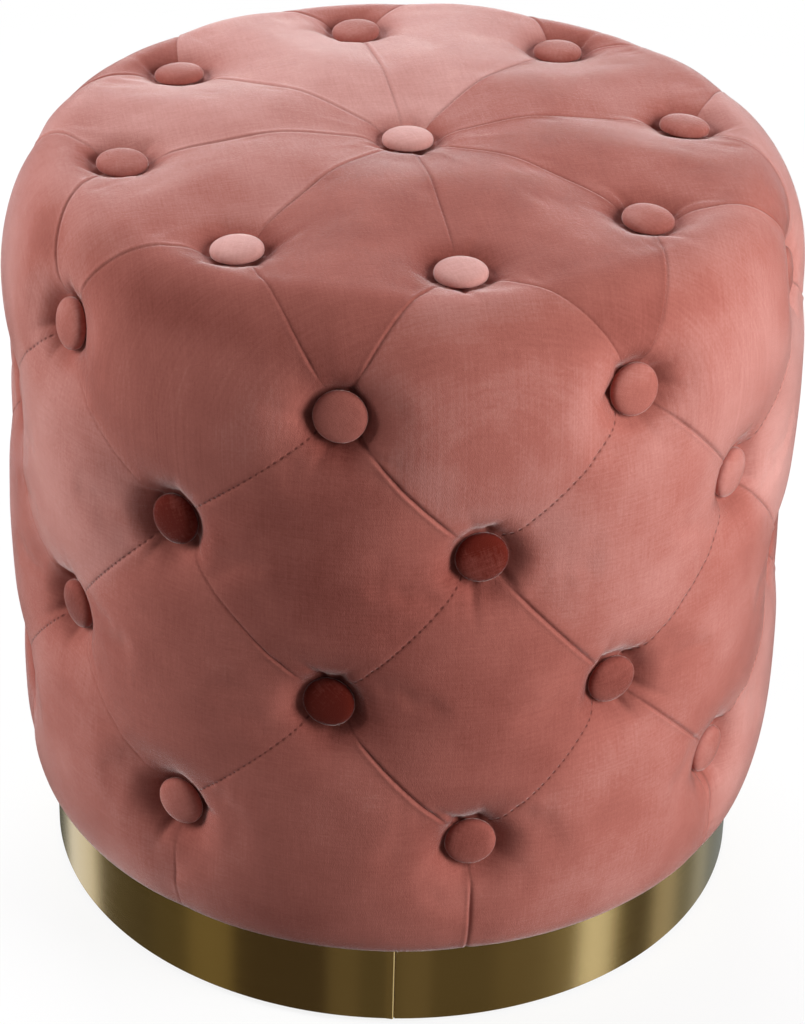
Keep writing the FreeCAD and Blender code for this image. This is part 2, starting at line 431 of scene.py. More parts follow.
@dataclass(frozen=True)
class VelvetFinish:
    """Dusty rose velvet with a short pile: its colours by how it is brushed and by painted light and shade, and
    painted shade in its seams and needle holes.
    """

    name: str
    bare: Colour = (0.120, 0.014, 0.008, 1.0)
    middle: Colour = (0.420, 0.136, 0.108, 1.0)
    brushed: Colour = (0.740, 0.390, 0.350, 1.0)
    # deep: painted shade for the seams' grooves and needle holes.
    deep: Colour = (0.060, 0.012, 0.010, 1.0)
    patch: float = 0.045
    pile_height: float = 0.0002
    line: tuple[float, float] = (0.0012, 0.0001)
    hole: tuple[float, float] = (0.0008, 0.0003)
    hole_depth: float = 2.0
    hole_stretch: float = 0.6
    stitch_pitch: float = 0.0036
    stitch_sway: float = 0.006
    sway_scale: float = 60.0

    def pile(self, shader: Shader, group: bpy.types.NodeTree) -> dict[str, Socket]:
        """Start the velvet: its sheen, its pile and where both are read.

        Args:
            shader: The material under construction.
            group: The velvet pile group.

        Returns:
            The group's outputs; its rows and tone come from the piece's "cloth" attribute.
        """
        shader.set(Roughness=1.0, Specular_IOR_Level=0.10, Sheen_Weight=0.85, Sheen_Roughness=0.26,
                   Sheen_Tint=(1.0, 0.90, 0.89, 1.0))
        cloth = shader.attribute("cloth").outputs["Vector"]
        return shader.group(group, Bare=self.bare, Middle=self.middle, Brushed=self.brushed,
                            Patch_size=self.patch, Place=shader.place(), Rows=cloth,
                            Tone=shader.axes(cloth)[2])

    def for_buttons(self, group: bpy.types.NodeTree) -> Material:
        """Build the buttons' velvet.

        Args:
            group: The velvet pile group.

        Returns:
            The material.
        """
        shader = Shader(self.name)
        made = self.pile(shader, group)
        shader.set(Base_Color=made["Colour"])
        shader.bump(made["Height"], self.pile_height)
        return shader.material

    def for_cover(self, group: bpy.types.NodeTree) -> Material:
        """Build the cover's velvet, with painted shade along its seams and in its needle holes.

        Args:
            group: The velvet pile group.

        Returns:
            The material.
        """
        shader = Shader(self.name)
        made = self.pile(shader, group)
        off, along, shade = shader.axes(shader.attribute("seam").outputs["Vector"])
        # Painted shade: the seam's line and needle holes are darkened towards the deep colour.
        line = shader.math("MULTIPLY", shader.ramp(off, *self.line), shade)
        holes = self.holes(shader, off, along)
        shader.set(Base_Color=shader.mix(shader.math("MAXIMUM", line, holes), made["Colour"], self.deep))
        sunk = shader.math("MULTIPLY", holes, self.hole_depth)
        shader.bump(shader.math("SUBTRACT", made["Height"], sunk), self.pile_height)
        return shader.material

    def holes(self, shader: Shader, off: Socket, along: Socket) -> Socket:
        """Return a mask of the needle holes along a plain seam, unevenly spaced, for their painted shade and
        their dent.

        Args:
            shader: The material under construction.
            off: The distance from the seam.
            along: The distance along the seam.

        Returns:
            The mask socket.
        """
        sway = shader.node("ShaderNodeTexNoise", noise_dimensions="1D")
        shader.feed(sway.inputs["Scale"], self.sway_scale)
        shader.feed(sway.inputs["W"], along)
        uneven = shader.math("ADD", along, shader.math("MULTIPLY", sway.outputs["Fac"], self.stitch_sway))
        wave = shader.math("PINGPONG", uneven, self.stitch_pitch / 2)
        reach = shader.node("ShaderNodeCombineXYZ")
        shader.feed(reach.inputs["X"], off)
        shader.feed(reach.inputs["Y"], shader.math("MULTIPLY", wave, self.hole_stretch))
        length = shader.node("ShaderNodeVectorMath", operation="LENGTH")
        shader.feed(length.inputs[0], reach.outputs[0])
        stitches = shader.attribute("stitches").outputs["Fac"]
        return shader.math("MULTIPLY", shader.ramp(length.outputs["Value"], *self.hole), stitches)


@dataclass(frozen=True)
class BandFinish:
    """Brass-coloured steel, brushed round the band."""

    name: str = "brushed brass-coloured steel"
    dark: Colour = (0.46, 0.34, 0.14, 1.0)
    light: Colour = (0.60, 0.46, 0.22, 1.0)
    brushing: Triple = (6.0, 6.0, 2600.0)
    clouds: float = 14.0
    scratch_share: float = 0.45
    roughness: tuple[float, float] = (0.12, 0.22)
    scratch_depth: float = 0.00002

    def make(self) -> Material:
        """Build the material: long fine scratches round the band and slow changes of tone.

        Returns:
            The material.
        """
        shader = Shader(self.name)
        shader.set(Metallic=1.0, Anisotropic=0.85, Anisotropic_Rotation=0.25)
        scratches = shader.noise(shader.place(self.brushing), 1.0, 4.0)
        clouds = shader.noise(shader.place(), self.clouds)
        both = shader.node("ShaderNodeMix", data_type="FLOAT")
        for key, value in (("Factor", self.scratch_share), (2, clouds), (3, scratches)):
            shader.feed(both.inputs[key], value)
        tangent = shader.node("ShaderNodeTangent", direction_type="RADIAL", axis="Z")
        shader.set(Base_Color=shader.mix(both.outputs[0], self.dark, self.light),
                   Roughness=shader.ramp(scratches, 0.0, 1.0, *self.roughness),
                   Tangent=tangent.outputs["Tangent"])
        shader.bump(scratches, self.scratch_depth)
        return shader.material


@dataclass(frozen=True)
class GrainFinish:
    """A plain finish with grain: board, sawn wood, foam, cloth, twine or nylon."""

    name: str
    dark: Triple
    light: Triple
    size: float
    stretch: Triple = (1.0, 1.0, 1.0)
    roughness: float = 0.85
    depth: float = 0.0002

    def make(self, grain: bpy.types.NodeTree) -> Material:
        """Build the material.

        Args:
            grain: The grain group.

        Returns:
            The material.
        """
        shader = Shader(self.name)
        made = shader.group(grain, Dark=(*self.dark, 1.0), Light=(*self.light, 1.0), Size=self.size,
                            Place=shader.place(self.stretch))
        shader.set(Roughness=self.roughness, Base_Color=made["Colour"])
        shader.bump(made["Height"], self.depth)
        return shader.material


# The form of the cover


@dataclass(frozen=True)
class Meridian:
    """The line that the cover's puffs fill, from the middle of the seat down to the hem."""

    body_radius: float = 0.195
    crown_height: float = 0.401
    crown_rise: float = 0.0035
    shoulder_width: float = 0.039
    shoulder_drop: float = 0.072
    skirt_width: float = 0.014
    skirt_rise: float = 0.064
    hem_height: float = 0.048
    smoothing: int = 9
    straight_steps: int = 600
    round_steps: int = 500

    def points(self) -> np.ndarray:
        """Return closely spaced (radius, height) points of the line.

        Returns:
            The points, from the middle of the seat to the hem.
        """
        flat = self.body_radius - self.shoulder_width
        foot = self.crown_height - self.crown_rise - self.shoulder_drop
        head = self.hem_height + self.skirt_rise
        steps = self.straight_steps
        across = np.linspace(0.0, flat, steps)
        turn = np.linspace(0.0, math.pi / 2, self.round_steps)[1:]
        pieces = (
            (across, self.crown_height - self.crown_rise * (across / flat) ** 2),
            (flat + self.shoulder_width * np.sin(turn), foot + self.shoulder_drop * np.cos(turn)),
            (np.full(steps, self.body_radius), np.linspace(foot, head, steps + 1)[1:]),
            (self.body_radius - self.skirt_width * (1 - np.cos(turn)), head - self.skirt_rise * np.sin(turn)),
        )
        return np.concatenate([np.stack(piece, axis=1) for piece in pieces])

    def table(self) -> tuple[np.ndarray, np.ndarray, np.ndarray]:
        """Measure along the line.

        Returns:
            Distances, points and outward normals along the line.
        """
        points = self.points()
        steps = np.linalg.norm(np.diff(points, axis=0), axis=1)
        distances = np.concatenate([[0.0], np.cumsum(steps)])
        slopes = np.gradient(points, distances, axis=0)
        kernel = np.ones(self.smoothing) / self.smoothing
        padded = [np.pad(slopes[:, k], self.smoothing // 2, mode="edge") for k in (0, 1)]
        smooth = np.stack([np.convolve(one, kernel, mode="valid") for one in padded], axis=1)
        normals = np.stack([-smooth[:, 1], smooth[:, 0]], axis=1)
        normals /= np.linalg.norm(normals, axis=1, keepdims=True)
        return distances, points, normals


@dataclass
class Form:
    """The cover's outer form as a surface of distance down the meridian and angle round the axis."""

    meridian: Meridian = field(default_factory=Meridian)

    def __post_init__(self) -> None:
        """Measure the meridian once."""
        self.distances, self.line, self.normals = self.meridian.table()
        self.length = float(self.distances[-1])

    def at(self, distance: np.ndarray, angle: np.ndarray, depth: np.ndarray | float = 0.0) -> np.ndarray:
        """Place points on the form.

        Args:
            distance: Distances down the meridian.
            angle: Angles in degrees.
            depth: How far in along the normal.

        Returns:
            The points, with a last axis of three.
        """
        distance = np.clip(distance, 0.0, self.length)
        radius, height, out, up = (
            np.interp(distance, self.distances, column) for column in (*self.line.T, *self.normals.T))
        radius = radius - depth * out
        height = height - depth * up
        turn = np.radians(angle)
        return np.stack([radius * np.sin(turn), -radius * np.cos(turn), height], axis=-1)

    def facing(self, distance: float, angle: float) -> Vector:
        """Return the outward normal at a spot of the form.

        Args:
            distance: The spot's distance.
            angle: The spot's angle.

        Returns:
            The unit normal.
        """
        out, up = (float(np.interp(distance, self.distances, column)) for column in self.normals.T)
        turn = math.radians(angle)
        return Vector((out * math.sin(turn), -out * math.cos(turn), up)).normalized()

    def first(self, passed: np.ndarray) -> float:
        """Return the distance of the first point of the line for which passed is true."""
        return float(self.distances[int(np.argmax(passed))])


@dataclass(frozen=True)
class Tuft:
    """One button's place: its distance and angle on the form, and how deep its back lies."""

    distance: float
    angle: float
    depth: float

    @property
    def spot(self) -> Spot:
        """The tuft's distance and angle."""
        return self.distance, self.angle

    def turned(self, turns: int) -> "Tuft":
        """Return the same tuft with its angle carried on by whole turns."""
        return Tuft(self.distance, self.angle + 360.0 * turns, self.depth)


@dataclass
class Tufting:
    """Where the buttons sit: one in the middle, a ring on the seat and four staggered rows down the side."""

    form: Form
    round: int = 8
    ring_inset: float = 0.059
    top_row_drop: float = 0.054
    bottom_row_rise: float = 0.0675
    row_shares: tuple[float, ...] = (0.0, 0.315, 0.663, 1.0)
    side_depth: float = 0.0130
    seat_depth: float = 0.0100
    wall_share: float = 0.9
    drift: dict[tuple[str, int], tuple[float, float]] = field(default_factory=dict)

    def __post_init__(self) -> None:
        """Work out every tuft from the sizes and the drift of those listed."""
        meridian, line = self.form.meridian, self.form.line
        pitch = 360.0 / self.round
        ring = self.form.first(line[:, 0] >= meridian.body_radius - self.ring_inset)
        self.middle = self.tuft("middle", 0, 0.0, 0.0, self.seat_depth)
        self.ring = [self.tuft("ring", k, ring, k * pitch, self.seat_depth) for k in range(self.round)]
        top = meridian.crown_height - self.top_row_drop
        bottom = meridian.hem_height + self.bottom_row_rise
        self.rows: list[list[Tuft]] = []
        for number, share in enumerate(self.row_shares, start=1):
            height = top + (bottom - top) * share
            below = (line[:, 1] <= height) & (line[:, 0] > meridian.body_radius * self.wall_share)
            distance = self.form.first(below)
            start = pitch / 2 * (number % 2)
            self.rows.append([self.tuft("row %d" % number, k, distance, start + k * pitch, self.side_depth)
                              for k in range(self.round)])

    def tuft(self, row: str, index: int, distance: float, angle: float, depth: float) -> Tuft:
        """Make the tuft at a place of a row, moved from its regular spot by its drift."""
        down, along = self.drift.get((row, index), (0.0, 0.0))
        return Tuft(distance + down, angle + along, depth)

    def all(self) -> list[Tuft]:
        """Return every tuft."""
        return [self.middle] + self.ring + [tuft for row in self.rows for tuft in row]

    def near(self, row: list[Tuft], index: int) -> Spot:
        """Return a tuft's spot in a closed row, its angle carried on where the row starts again."""
        return row[index % self.round].turned(index // self.round).spot


@dataclass(frozen=True)
class SeamShape:
    """A seam's look: its groove's depth, its lip's height, how dark its groove's painted shade is, and how
    plain its stitches are.
    """

    groove: float
    lip: float
    # shade: how dark the seam's line is painted, as shade in its groove.
    shade: float
    stitches: float


class Seam(Enum):
    """How two panels of the cover are joined along a line."""

    PLEAT = SeamShape(0.0012, 0.0006, 0.34, 0.0)
    SEAT = SeamShape(0.0005, 0.0003, 0.12, 0.15)
    STITCH = SeamShape(0.0004, 0.0, 0.10, 0.55)


class Chart(Enum):
    """How a panel's lines run straight: as seen from above, or down the unrolled side."""

    SEAT = "seat"
    SIDE = "side"


class PanelKind(Enum):
    """Which part of the cover a panel belongs to, from the middle of the seat down to the hem."""

    SEAT = "seat"
    SHOULDER = "shoulder"
    UPPER = "upper"
    LOWER = "lower"
    SKIRT = "skirt"


# The seams of a panel's sides, and which of them stand up in a lip.
# The order is upper right, upper left, lower right, lower left.
SEAMS: dict[PanelKind, tuple[Seam, Seam, Seam, Seam]] = {
    PanelKind.SEAT: (Seam.SEAT, Seam.SEAT, Seam.SEAT, Seam.SEAT),
    PanelKind.SHOULDER: (Seam.SEAT, Seam.SEAT, Seam.STITCH, Seam.PLEAT),
    PanelKind.UPPER: (Seam.PLEAT, Seam.STITCH, Seam.STITCH, Seam.PLEAT),
    PanelKind.LOWER: (Seam.PLEAT, Seam.STITCH, Seam.STITCH, Seam.PLEAT),
    PanelKind.SKIRT: (Seam.PLEAT, Seam.STITCH, Seam.PLEAT, Seam.PLEAT),
}
LIPS: dict[PanelKind, tuple[bool, bool, bool, bool]] = {
    kind: (True, False, kind in (PanelKind.SEAT, PanelKind.SKIRT), False) for kind in PanelKind
}


@dataclass(frozen=True)
class Panel:
    """One panel of the cover between the spots of its four corners."""

    kind: PanelKind
    index: int
    top: Spot
    left: Spot
    right: Spot
    bottom: Spot

    @property
    def upper_chart(self) -> Chart:
        """How the sides from the top corner run straight."""
        return Chart.SEAT if self.kind in (PanelKind.SEAT, PanelKind.SHOULDER) else Chart.SIDE

    @property
    def lower_chart(self) -> Chart:
        """How the sides to the bottom corner run straight."""
        return Chart.SEAT if self.kind is PanelKind.SEAT else Chart.SIDE

    @property
    def middle(self) -> float:
        """The panel's middle angle."""
        return (self.left[1] + self.right[1]) / 2


@dataclass
class PanelGrid:
    """A panel's spots on the form, the spots of its four sides and its points on the bare form."""

    panel: Panel
    spots: np.ndarray
    sides: tuple[np.ndarray, ...]
    points: np.ndarray


@dataclass
class ClothFilling:
    """How the cover is blown up between its tufts as cloth, on a coarse copy of it."""

    steps: int = 18
    frames: int = 20
    fabric: dict[str, float] = field(default_factory=lambda: {
        "quality": 6, "mass": 0.3, "tension_stiffness": 12.0, "compression_stiffness": 12.0,
        "shear_stiffness": 4.0, "bending_stiffness": 0.5, "pin_stiffness": 1.0, "shrink_min": -0.005,
        "uniform_pressure_force": 4.0,
    })
    inset: float = 0.0015
    cap: float = 0.0035
    seam_hold: float = 0.10
    held_share: float = 0.9
    full_depth: float = 0.008
    hem_strip: float = 0.004

    def blow_up(self, obj: Object, held: np.ndarray) -> np.ndarray:
        """Run the cloth simulation on an object and apply its result.

        Args:
            obj: The object, slightly smaller than the filled cover.
            held: How firmly each vertex is held, from 0 to 1.

        Returns:
            The vertices' places afterwards.
        """
        group = obj.vertex_groups.new(name="held")
        for index, weight in enumerate(held):
            group.add([index], float(weight), "REPLACE")
        cloth = obj.modifiers.new("filling", "CLOTH")
        for title, value in self.fabric.items():
            setattr(cloth.settings, title, value)
        cloth.settings.vertex_group_mass = "held"
        cloth.settings.use_pressure = True
        cloth.settings.effector_weights.gravity = 0.0
        cloth.collision_settings.use_collision = False
        cloth.point_cache.frame_start = 1
        cloth.point_cache.frame_end = self.frames
        for number in range(1, self.frames + 1):
            bpy.context.scene.frame_set(number)
        apply_modifiers(obj)
        bpy.context.scene.frame_set(1)
        after = np.empty(len(obj.data.vertices) * 3)
        obj.data.vertices.foreach_get("co", after)
        return after.reshape(-1, 3)


@dataclass
class QuiltedCover:
    """The velvet quilted to its wadding: panels that are drawn in at the buttons and sewn together."""

    form: Form
    tufting: Tufting
    filling: ClothFilling = field(default_factory=ClothFilling)
    steps: int = 60
    crowding: float = 0.80
    seat_radius: float = 0.0138
    bowl_reach: float = 0.0095
    bowl_power: float = 1.15
    bowl_limit: float = 0.075
    valley_depth: float = 0.0012
    valley_width: float = 0.013
    groove_width: float = 0.0010
    groove_power: float = 1.5
    lip_reach: float = 0.0013
    fold_count: int = 5
    fold_width: float = 0.0024
    fold_depth: tuple[float, float] = (0.0004, 0.0026)
    fold_length: tuple[float, float] = (0.006, 0.016)
    fold_bend: float = 14.0
    fold_core: float = 0.004
    flat_pleats: float = -66.0
    flat_spread: float = 40.0
    flat_share: float = 0.88
    flat_power: int = 4
    # Painted shade: the pile is darkened in a band round the seat's edge, where the cover turns down to the
    # side.
    edge_place: float = 0.189
    edge_width: float = 0.013
    edge_painted_shade: float = -0.10
    # Painted shadow: the pile is darkened along the hem, where the cover turns under.
    hem_width: float = 0.008
    hem_painted_shadow: float = -0.30
    hem_fade: float = 0.02
    hem_gather: float = 0.0006
    hem_seams: float = 0.3
    hem_turns: tuple[float, float] = (0.985, 0.85)
    seam_fade_start: float = 0.002
    seam_fade_width: float = 0.006
    merge_gap: float = 0.00005
    tone_blend: float = 0.12
    chance_tone: float = 0.07
    # Painted shade: the pile is darkened in a ring round each button, in the hollow it draws in.
    halo_width: float = 0.009
    halo_painted_shade: float = -0.14
    tones: dict[tuple[PanelKind, int], float] = field(default_factory=dict)
    seed: int = 12

    def panels(self) -> list[Panel]:
        """List the panels from the middle of the seat to the hem.

        Returns:
            The panels.
        """
        near = self.tufting.near
        first, second, third, fourth = self.tufting.rows
        found: list[Panel] = []
        for k in range(self.tufting.round):
            ring, after = near(self.tufting.ring, k), near(self.tufting.ring, k + 1)
            one_before, one = near(first, k - 1), near(first, k)
            two, two_after = near(second, k), near(second, k + 1)
            three_before, three = near(third, k - 1), near(third, k)
            four, four_after = near(fourth, k), near(fourth, k + 1)
            hem = (self.form.length, (four[1] + four_after[1]) / 2)
            found.append(Panel(PanelKind.SEAT, k, (0.0, one[1]), ring, after, one))
            found.append(Panel(PanelKind.SHOULDER, k, ring, one_before, one, two))
            found.append(Panel(PanelKind.UPPER, k, one, two, two_after, three))
            found.append(Panel(PanelKind.LOWER, k, two, three_before, three, four))
            found.append(Panel(PanelKind.SKIRT, k, three, four, four_after, hem))
        return found

    def shares(self) -> np.ndarray:
        """Return the shares at which a panel's sides are divided, closer together towards both ends."""
        even = np.linspace(0.0, 1.0, self.steps + 1)
        return (1 - self.crowding) * even + self.crowding * 0.5 * (1 - np.cos(math.pi * even))

    @staticmethod
    def flat(spots: np.ndarray, middle: float, chart: Chart) -> np.ndarray:
        """Lay spots flat, as seen from above or on the unrolled side.

        Args:
            spots: The spots.
            middle: The panel's middle angle.
            chart: How to lay them.

        Returns:
            Flat coordinates.
        """
        if chart is Chart.SIDE:
            return spots
        turn = np.radians(spots[..., 1] - middle)
        return np.stack([spots[..., 0] * np.cos(turn), spots[..., 0] * np.sin(turn)], axis=-1)

    @staticmethod
    def unflat(flat: np.ndarray, middle: float, chart: Chart) -> np.ndarray:
        """Undo flat.

        Args:
            flat: Flat coordinates.
            middle: The panel's middle angle.
            chart: How they were laid.

        Returns:
            The spots.
        """
        if chart is Chart.SIDE:
            return flat
        turn = np.arctan2(flat[..., 1], flat[..., 0])
        return np.stack([np.hypot(flat[..., 0], flat[..., 1]), middle + np.degrees(turn)], axis=-1)

    def straight(self, start: Spot, end: Spot, chart: Chart, middle: float, shares: np.ndarray) -> np.ndarray:
        """Return the spots of a seam that runs straight in its chart.

        Args:
            start: Its upper end.
            end: Its lower end.
            chart: The chart in which it is straight.
            middle: The panel's middle angle.
            shares: Where along it the spots lie.

        Returns:
            The spots.
        """
        first = self.flat(np.array(start), middle, chart)
        last = self.flat(np.array(end), middle, chart)
        return self.unflat(first + (last - first) * shares[:, None], middle, chart)

    @staticmethod
    def hem_side(start: Spot, end: Spot, shares: np.ndarray) -> np.ndarray:
        """Return the spots of a side that runs straight down to the hem and then along it.

        Args:
            start: The tuft above the hem.
            end: The middle of the panel's hem.
            shares: Where along it the spots lie.

        Returns:
            The spots.
        """
        down = np.clip(shares * 2, 0.0, 1.0)
        along = np.clip(shares * 2 - 1, 0.0, 1.0)
        distance = start[0] + (end[0] - start[0]) * down
        angle = start[1] + (end[1] - start[1]) * along
        return np.stack([distance, angle], axis=-1)

    def grid(self, panel: Panel, shares: np.ndarray) -> PanelGrid:
        """Fill a panel with a grid between its sides.

        Args:
            panel: The panel.
            shares: Where its sides are divided.

        Returns:
            The grid, its first index along the sides that run right and down.
        """
        middle, upper, lower = panel.middle, panel.upper_chart, panel.lower_chart
        over = self.straight(panel.top, panel.right, upper, middle, shares)
        under = self.straight(panel.top, panel.left, upper, middle, shares)
        if panel.kind is PanelKind.SKIRT:
            right = self.hem_side(panel.right, panel.bottom, shares)
            left = self.hem_side(panel.left, panel.bottom, shares)
        else:
            right = self.straight(panel.right, panel.bottom, lower, middle, shares)
            left = self.straight(panel.left, panel.bottom, lower, middle, shares)
        sides = (over, under, right, left)
        flat_over, flat_under, flat_right, flat_left = [self.flat(side, middle, upper) for side in sides]
        u, v = shares[:, None, None], shares[None, :, None]
        corners = (1 - u) * (1 - v) * flat_over[0] + u * (1 - v) * flat_over[-1]
        corners = corners + (1 - u) * v * flat_under[-1] + u * v * flat_right[-1]
        fill = (1 - v) * flat_over[:, None] + v * flat_left[:, None]
        fill = fill + (1 - u) * flat_under[None, :] + u * flat_right[None, :]
        spots = self.unflat(fill - corners, middle, upper)
        return PanelGrid(panel, spots, sides, self.form.at(spots[..., 0], spots[..., 1]))

    @staticmethod
    def from_path(points: np.ndarray, path: np.ndarray) -> tuple[np.ndarray, np.ndarray]:
        """Measure points against a path.

        Args:
            points: Points with a last axis of three.
            path: The path's points in order.

        Returns:
            Each point's distance from the path, and how far along the path that is.
        """
        shape = points.shape[:-1]
        flat = points.reshape(-1, 1, 3)
        runs = path[1:] - path[:-1]
        lengths = np.linalg.norm(runs, axis=1)
        whole = np.concatenate([[0.0], np.cumsum(lengths)])
        share = np.sum((flat - path[:-1]) * runs, axis=-1) / np.maximum(lengths ** 2, 1e-12)
        share = np.clip(share, 0.0, 1.0)
        gaps = np.linalg.norm(flat - (path[:-1] + share[..., None] * runs), axis=-1)
        nearest = np.argmin(gaps, axis=1)
        rows = np.arange(len(nearest))
        along = whole[nearest] + share[rows, nearest] * lengths[nearest]
        return gaps[rows, nearest].reshape(shape), along.reshape(shape)

    def middle_of(self, tuft: Tuft) -> np.ndarray:
        """Return the point of the bare form over a tuft."""
        return self.form.at(np.array(tuft.distance), np.array(tuft.angle))

    def above_hem(self, spots: np.ndarray) -> np.ndarray:
        """Return 0 for spots at the hem, up to 1 a little above it."""
        return np.clip((self.form.length - spots[..., 0]) / self.hem_fade, 0.0, 1.0)

    def drawn_in(self, points: np.ndarray) -> np.ndarray:
        """Work out how deep the tufts draw the cloth in, with small folds that run out from each button.

        Args:
            points: Points of the bare form.

        Returns:
            The depths.
        """
        depth = np.zeros(points.shape[:-1])
        dice = np.random.default_rng(self.seed)
        count = self.fold_count
        for tuft in self.tufting.all():
            facing = np.array(self.form.facing(tuft.distance, tuft.angle))
            side = np.cross((0.0, 0.0, 1.0), facing)
            wide = np.linalg.norm(side)
            side = side / wide if wide > 1e-3 else np.array((1.0, 0.0, 0.0))
            rise = np.cross(facing, side)
            angles = np.arange(count) * 2 * math.pi / count + dice.uniform(-0.5, 0.5, count)
            angles = angles + dice.uniform(0.0, 2 * math.pi)
            deep = dice.uniform(*self.fold_depth, count)
            long = dice.uniform(*self.fold_length, count)
            bend = dice.uniform(-self.fold_bend, self.fold_bend, count)
            away = points - self.middle_of(tuft)
            reach = np.linalg.norm(away, axis=-1)
            near = reach < self.bowl_limit
            turn = np.arctan2(away[near] @ rise, away[near] @ side)
            close = reach[near]
            beyond = close - self.seat_radius
            total = tuft.depth * bell(np.maximum(beyond, 0.0), 0.0, self.bowl_reach, self.bowl_power)
            for angle, fold, length, curl in zip(angles, deep, long, bend):
                swing = np.angle(np.exp(1j * (turn - angle - curl * beyond)))
                across = np.abs(swing) * np.maximum(close, self.fold_core)
                total += fold * bell(across, 0.0, self.fold_width) * bell(beyond, 0.0, length)
            depth[near] = np.maximum(depth[near], total)
        return depth

    def openness(self, angle: np.ndarray) -> np.ndarray:
        """Return how far the pleats stand open at some angles: they lie flatter on one side of the stool."""
        away = (angle - self.flat_pleats + 180.0) % 360.0 - 180.0
        return 1.0 - self.flat_share * bell(away, 0.0, self.flat_spread, self.flat_power)

    def sewn(self, grid: PanelGrid) -> tuple[np.ndarray, np.ndarray]:
        """Work out the seams' part in a panel's depth, and what the finish needs to know of the seams.

        Args:
            grid: The panel's grid.

        Returns:
            Depths, and a last axis of distance from the seam, distance along it, painted shade and stitches.
        """
        kind = grid.panel.kind
        nearest = np.full(grid.points.shape[:-1], 1.0)
        marks = np.zeros(grid.points.shape[:-1] + (4,))
        sewn = np.zeros_like(nearest)
        for index, (side, seam, lip) in enumerate(zip(grid.sides, SEAMS[kind], LIPS[kind])):
            if kind is PanelKind.SKIRT and index > 1:
                side = side[: len(side) // 2 + 1]
            off, along = self.from_path(grid.points, self.form.at(side[:, 0], side[:, 1]))
            shape = seam.value
            opened = self.openness(grid.spots[..., 1]) if seam is Seam.PLEAT else np.ones_like(off)
            depth = shape.groove * opened * bell(off, 0.0, self.groove_width, self.groove_power)
            if lip:
                share = (off / self.lip_reach) ** 2
                depth = depth - shape.lip * opened * share * np.exp(1 - share)
            closer = off < nearest
            nearest = np.where(closer, off, nearest)
            sewn = np.where(closer, depth, sewn)
            # The seam's painted shade is weaker where the pleats lie flat.
            seen = np.stack([off, along, shape.shade * opened, np.full_like(off, shape.stitches)], axis=-1)
            marks = np.where(closer[..., None], seen, marks)
        return sewn + self.valley_depth * bell(nearest, 0.0, self.valley_width), marks

    def brushed(self) -> list[tuple[Panel, float]]:
        """Pair each panel with its tone, partly the pile's brushing and partly painted light and shade, by
        chance where none is listed.

        Returns:
            The panels and their tones.
        """
        dice = np.random.default_rng(self.seed)
        found = []
        for panel in self.panels():
            chance = dice.uniform(-self.chance_tone, self.chance_tone)
            found.append((panel, self.tones.get((panel.kind, panel.index), chance)))
        return found

    def soft_tone(self, spots: np.ndarray, brushed: list[tuple[Panel, float]]) -> np.ndarray:
        """Blend the tones of the panels below the seat softly over the seams between them.

        Args:
            spots: The spots.
            brushed: The panels and their tones.

        Returns:
            A tone for each spot.
        """
        total = np.zeros(spots.shape[:-1])
        whole = np.zeros(spots.shape[:-1])
        half = 180.0 / self.tufting.round
        for panel, tone in brushed:
            if panel.kind is PanelKind.SEAT:
                continue
            around = np.abs((spots[..., 1] - panel.middle + 180.0) % 360.0 - 180.0) / half
            wide = (panel.left[0] + panel.right[0]) / 2
            above = np.maximum(wide - spots[..., 0], 0.0) / (wide - panel.top[0])
            below = np.maximum(spots[..., 0] - wide, 0.0) / (panel.bottom[0] - wide)
            if panel.kind is PanelKind.SKIRT:
                below = np.zeros_like(below)
            share = np.exp(-(around + above + below) / self.tone_blend)
            total += share * tone
            whole += share
        return total / whole

    def weave(self, number: int, grid: PanelGrid, brushed: list[tuple[Panel, float]]) -> np.ndarray:
        """Lay a panel's cloth: its own threads' directions and its tone, partly the way its pile is brushed and
        partly painted light and shade.

        Painted shade darkens the pile round the seat's edge and in a ring beside each button, and painted
        shadow darkens it along the hem.

        Args:
            number: The panel's place in the list.
            grid: The panel's grid.
            brushed: The panels and their tones.

        Returns:
            A last axis of the place across the cloth, the place down the cloth and the tone.
        """
        distance = grid.spots[..., 0]
        # The panels' tones are partly the pile's brushing and partly painted light and shade.
        if grid.panel.kind is PanelKind.SEAT:
            tone = np.full(distance.shape, brushed[number][1])
        else:
            tone = self.soft_tone(grid.spots, brushed)
        # Painted shade in a band round the seat's edge.
        tone += self.edge_painted_shade * bell(distance, self.edge_place, self.edge_width)
        # Painted shadow along the hem.
        tone += self.hem_painted_shadow * bell(distance, self.form.length, self.hem_width)
        # Painted shade in a ring round each button.
        for tuft in self.tufting.all():
            away = np.linalg.norm(grid.points - self.middle_of(tuft), axis=-1)
            beyond = np.maximum(away, self.seat_radius)
            tone += self.halo_painted_shade * bell(beyond, self.seat_radius, self.halo_width)
        if grid.panel.upper_chart is Chart.SEAT:
            return np.stack([grid.points[..., 0], grid.points[..., 1], tone], axis=-1)
        across = np.radians(grid.spots[..., 1]) * self.form.meridian.body_radius
        return np.stack([across, distance, tone], axis=-1)

    def merge(self, obj: Object) -> None:
        """Join the panels of a mesh where their edges lie on each other.

        Args:
            obj: The mesh object.
        """
        take(obj)
        bpy.ops.object.mode_set(mode="EDIT")
        bpy.ops.mesh.select_all(action="SELECT")
        bpy.ops.mesh.remove_doubles(threshold=self.merge_gap)
        bpy.ops.object.mode_set(mode="OBJECT")

